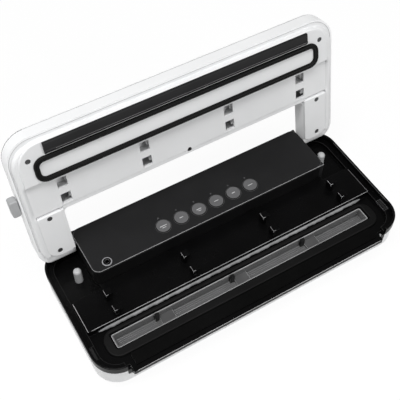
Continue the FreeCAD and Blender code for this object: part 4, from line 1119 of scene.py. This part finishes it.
@dataclass
class ControlDeck:
    """Painted edge highlight, corners, marks, lamps and rings of the control panel, and the lip of its hose
    port.
    """

    half_mm: float = 155.2
    front_mm: float = 21.7
    rear_mm: float = 88.5
    corner_mm: float = 9.0
    corner_steps: int = 10
    top_mm: float = 73.0
    # rounded edge of the panel, with a band of painted highlight over it
    edge_mm: float = 1.2
    edge_steps: int = 12
    edge_stop_mm: float = 6.0
    # distance off the rounded edge in millimetres, and angle in degrees
    edge_skin: Pairs = ((0.06, 34), (0.06, 46), (0.06, 58), (-0.1, 58), (-0.1, 34))
    square_mm: float = 1.8
    square_bevel: Span = (0.35, 0.3)
    square_inset_mm: float = 0.2
    square_skin_mm: float = 0.02
    seat_mm: float = 46.6
    pitch_mm: float = 23.66
    row_mm: float = 40.6
    cap_mm: float = 73.8
    cap_radius_mm: float = 9.0
    cap_edge_mm: float = 0.8
    ring_skin: Pairs = ((0.04, 80), (0.04, 60), (0.04, 40), (0.04, 20), (0.04, 0), (-0.04, 0), (-0.04, 40),
                        (-0.04, 80))
    mark_lengths_mm: tuple[float, ...] = (9.0, 5.0, 6.5, 6.0, 4.5, 6.5)
    mark_width_mm: float = 1.0
    ruled_buttons: tuple[int, ...] = (1, 3)
    rule_share: float = 0.55
    rule_width_mm: float = 0.8
    rule_drop_mm: float = 2.4
    bar_steps: int = 6
    bar_trim_mm: float = 0.01
    # inset and height in millimetres
    bar_profile: Pairs = ((0.0, -0.02), (0.0, 0.05), (0.08, 0.08))
    lamp_row_mm: float = 53.5
    lamp_mm: Section = ((1.1, -0.1), (1.1, 0.05), (0.8, 0.16), (0.4, 0.22), (0.05, 0.24))
    port_mm: Point = (-136.4, 30.2, 73.6)
    lip_mm: Section = ((2.4, -9.0), (2.4, -0.3), (2.6, 0.04), (3.3, 0.08), (4.3, 0.08), (4.6, 0.04),
                       (4.6, -0.04), (2.48, -0.06), (2.48, -9.0))

    @staticmethod
    def rounding(radius: float, skin: Pairs) -> list[Span]:
        """Thin band over a rounded edge.

        Args:
            radius: Radius of the edge in millimetres.
            skin: Distance off the edge in millimetres, and angle in degrees.

        Returns:
            Outward distance and height from the edge's two faces, in millimetres.
        """
        band = []
        for lift, degrees in skin:
            reach, turn = radius + lift, math.radians(degrees)
            band.append((reach * math.cos(turn) - radius, reach * math.sin(turn) - radius))
        return band

    def panel_edge(self) -> None:
        """Painted highlight along the rounded front and side edges of the panel."""
        path: Path = [(Vector((-self.half_mm, self.rear_mm - self.edge_stop_mm)), Vector((-1, 0)))]
        for side, radius, start in ((-1, self.corner_mm, 180), (1, self.square_mm, 270)):
            hub = Vector((side * (self.half_mm - radius), self.front_mm + radius))
            path += Mould.arc(hub, radius, start, start + 90, self.edge_steps)
        shape = Mould.sweep(path, self.rounding(self.edge_mm, self.edge_skin), self.top_mm)
        Mould.piece("panel_edge", shape, Finishes.HIGHLIGHT_PANEL, "base")

    def square_corner(self, name: str, side_x: int, side_y: int) -> None:
        """Wedge that makes a corner of the housing sharper.

        Args:
            name: Piece name.
            side_x: Side along X, 1 or -1.
            side_y: Side along Y, 1 for the rear and -1 for the front.
        """
        wall = self.rear_mm if side_y > 0 else self.front_mm
        edge, top = self.edge_mm, self.top_mm
        hub = Vector((side_x * (self.half_mm - self.corner_mm), wall - side_y * self.corner_mm))
        tip = Vector((side_x * (self.half_mm - self.square_mm), wall - side_y * self.square_mm))
        turns = [math.radians(90 * k / self.corner_steps) for k in range(self.corner_steps + 1)]
        outs = [Vector((side_x * math.cos(turn), side_y * math.sin(turn))) for turn in turns]
        reach = self.corner_mm - edge - self.square_inset_mm
        inward, below = self.square_bevel
        levels = ((0.0, self.seat_mm), (0.0, top - edge), (inward * edge, top - below * edge),
                  (edge, top + self.square_skin_mm))
        points: list[Point] = []
        for inset, level in levels:
            loop = [tip + out * (self.square_mm - inset) for out in outs]
            loop += [hub + out * reach for out in reversed(outs)]
            points.extend((spot.x * MM, spot.y * MM, level * MM) for spot in loop)
        shape = points, Mould.ring_faces(len(levels), 2 * len(outs))
        Mould.piece(name, shape, Finishes.PANEL_BLACK, "base")

    def bar(self, name: str, x: float, y: float, length: float, width: float, body: str) -> None:
        """Raised bar with round ends, printed on a button.

        Args:
            name: Piece name.
            x: Middle along X in millimetres.
            y: Middle along Y in millimetres.
            length: Overall length in millimetres.
            width: Width in millimetres.
            body: Body that it moves with.
        """
        half = width / 2
        loop = Mould.rounded_loop(length / 2, -half, half, half - self.bar_trim_mm, self.bar_steps)
        points: list[Point] = []
        for inset, height in self.bar_profile:
            for spot, out in loop:
                flat = spot - out * inset
                points.append(((x + flat.x) * MM, (y + flat.y) * MM, (self.cap_mm + height) * MM))
        shape = points, Mould.ring_faces(len(self.bar_profile), len(loop))
        Mould.piece(name, shape, Finishes.MARK_PALE, body)

    def button(self, number: int, x: float) -> None:
        """Plain bars on a button, the lamp behind it and the dark ring over its rounded edge.

        Args:
            number: Number of the button.
            x: Middle of the button along X in millimetres.
        """
        length, row, key = self.mark_lengths_mm[number - 1], self.row_mm, f"key_{number}"
        self.bar(f"button_mark_{number}", x, row, length, self.mark_width_mm, key)
        if number in self.ruled_buttons:
            rule = length * self.rule_share
            self.bar(f"button_rule_{number}", x, row - self.rule_drop_mm, rule, self.rule_width_mm, key)
        lamp = Mould.lathe((x, self.lamp_row_mm, self.top_mm), self.lamp_mm)
        Mould.piece(f"panel_lamp_{number}", lamp, Finishes.LENS_SMOKE, "base")
        band = self.rounding(self.cap_edge_mm, self.ring_skin)
        outline = [(self.cap_radius_mm + across, height) for across, height in band]
        ring = Mould.lathe((x, row, self.cap_mm), outline, True)
        Mould.piece(f"button_ring_{number}", ring, Finishes.RING_BLACK, key)

    def build(self) -> None:
        """All pieces of the panel."""
        self.panel_edge()
        self.square_corner("housing_corner_front", 1, -1)
        self.square_corner("housing_corner_right", 1, 1)
        self.square_corner("housing_corner_left", -1, 1)
        count = len(self.mark_lengths_mm)
        for number in range(1, count + 1):
            self.button(number, self.pitch_mm * (number - (count + 1) / 2))
        Mould.piece("port_lip", Mould.lathe(self.port_mm, self.lip_mm, True), Finishes.LIP_BLACK, "base")


@dataclass(frozen=True)
class Lamp:
    """Soft rectangular lamp."""

    name: str
    place: Point
    size: Span
    watts: float


@dataclass
class Studio:
    """Floor, lamps and camera, in metres and degrees."""

    azimuth: float = -30.44
    elevation: float = 53.3
    distance: float = 0.909
    target: Point = (0.001, 0.060, 0.060)
    sensor_mm: float = 36.0
    lens_mm: float = 68.1
    near_clip: float = 0.02
    floor_reach: float = 15.0
    wall_height: float = 3.0
    floor_shade: tuple[float, float, float, float] = (0.42, 0.42, 0.42, 1.0)
    floor_rough: float = 0.9
    floor_specular: float = 0.1
    glow: float = 1.1
    glow_share: float = 0.85
    surround: float = 0.2
    aim: Point = (0.0, 0.02, 0.08)
    lamps: tuple[Lamp, ...] = (
        Lamp("key", (0.75, -1.75, 1.25), (1.2, 0.8), 20.0),
        Lamp("left_box", (-1.5, 0.3, 1.1), (0.8, 0.8), 8.0),
        Lamp("top_box", (-0.5, -0.3, 2.0), (0.9, 0.9), 30.0),
    )

    def paint(self) -> bpy.types.Material:
        """Matt floor paint, which reads white to the eye and in reflections.

        Returns:
            The floor's material.
        """
        paint = bpy.data.materials.new("floor_paint")
        paint.use_nodes = True
        nodes, links = paint.node_tree.nodes, paint.node_tree.links
        matt = nodes["Principled BSDF"]
        matt.inputs["Base Color"].default_value = self.floor_shade
        matt.inputs["Roughness"].default_value = self.floor_rough
        matt.inputs["Specular IOR Level"].default_value = self.floor_specular
        glow = nodes.new("ShaderNodeEmission")
        glow.inputs["Color"].default_value = WHITE
        glow.inputs["Strength"].default_value = self.glow
        rays = nodes.new("ShaderNodeLightPath").outputs
        seen = rays["Is Camera Ray"]
        for ray in ("Is Glossy Ray", "Is Transmission Ray"):
            either = nodes.new("ShaderNodeMath")
            either.operation = "MAXIMUM"
            links.new(seen, either.inputs[0])
            links.new(rays[ray], either.inputs[1])
            seen = either.outputs[0]
        share = nodes.new("ShaderNodeMath")
        share.operation = "MULTIPLY"
        share.inputs[1].default_value = self.glow_share
        links.new(seen, share.inputs[0])
        mix = nodes.new("ShaderNodeMixShader")
        links.new(share.outputs[0], mix.inputs["Fac"])
        links.new(matt.outputs[0], mix.inputs[1])
        links.new(glow.outputs[0], mix.inputs[2])
        links.new(mix.outputs[0], nodes["Material Output"].inputs["Surface"])
        return paint

    def floor(self) -> None:
        """Pale floor with a low far wall, which keeps the shadow."""
        reach = self.floor_reach
        ring = ((-reach, -reach), (reach, -reach), (reach, reach), (-reach, reach))
        corners = [(x, y, z) for z in (0.0, self.wall_height) for x, y in ring]
        sides = [(k, (k + 1) % 4, (k + 1) % 4 + 4, k + 4) for k in range(4)]
        mesh = bpy.data.meshes.new("floor")
        mesh.from_pydata(corners, [], [(0, 1, 2, 3)] + sides)
        mesh.materials.append(self.paint())
        placed("floor", mesh)

    def lights(self) -> None:
        """Key from the front right, soft boxes at the left and above, and a low even surround."""
        for lamp in self.lamps:
            data = bpy.data.lights.new(lamp.name, "AREA")
            data.shape = "RECTANGLE"
            data.size, data.size_y = lamp.size
            data.energy = lamp.watts
            made = placed(lamp.name, data)
            made.location = lamp.place
            towards = Vector(self.aim) - Vector(lamp.place)
            made.rotation_euler = towards.to_track_quat("-Z", "Y").to_euler()
        world = bpy.data.worlds.new("surround")
        bpy.context.scene.world = world
        world.use_nodes = True
        back = world.node_tree.nodes["Background"]
        back.inputs["Color"].default_value = WHITE
        back.inputs["Strength"].default_value = self.surround

    def camera(self) -> None:
        """Camera at the photograph's angle."""
        data = bpy.data.cameras.new("camera")
        data.sensor_width = self.sensor_mm
        data.lens = self.lens_mm
        data.clip_start = self.near_clip
        made = placed("camera", data)
        a, e = math.radians(self.azimuth), math.radians(self.elevation)
        back = Vector((math.sin(a) * math.cos(e), -math.cos(a) * math.cos(e), math.sin(e)))
        made.location = Vector(self.target) + back * self.distance
        made.rotation_euler = back.to_track_quat("Z", "Y").to_euler()
        bpy.context.scene.camera = made

    def build(self) -> None:
        """Set up the stage."""
        self.floor()
        self.lights()
        self.camera()
        bpy.context.scene.view_settings.view_transform = "Standard"


def main() -> None:
    """Dress the solids, build the pieces and set the stage."""
    logging.basicConfig(level=logging.INFO, format="%(name)s: %(message)s")
    pose = LidPose()
    Dresser().dress()
    LidSeals(pose).build()
    LidTrim(pose).build()
    Channel().build()
    DeckTrim().build()
    SprungPosts().build()
    ControlDeck().build()
    Studio().build()


if __name__ == "__main__":
    main()
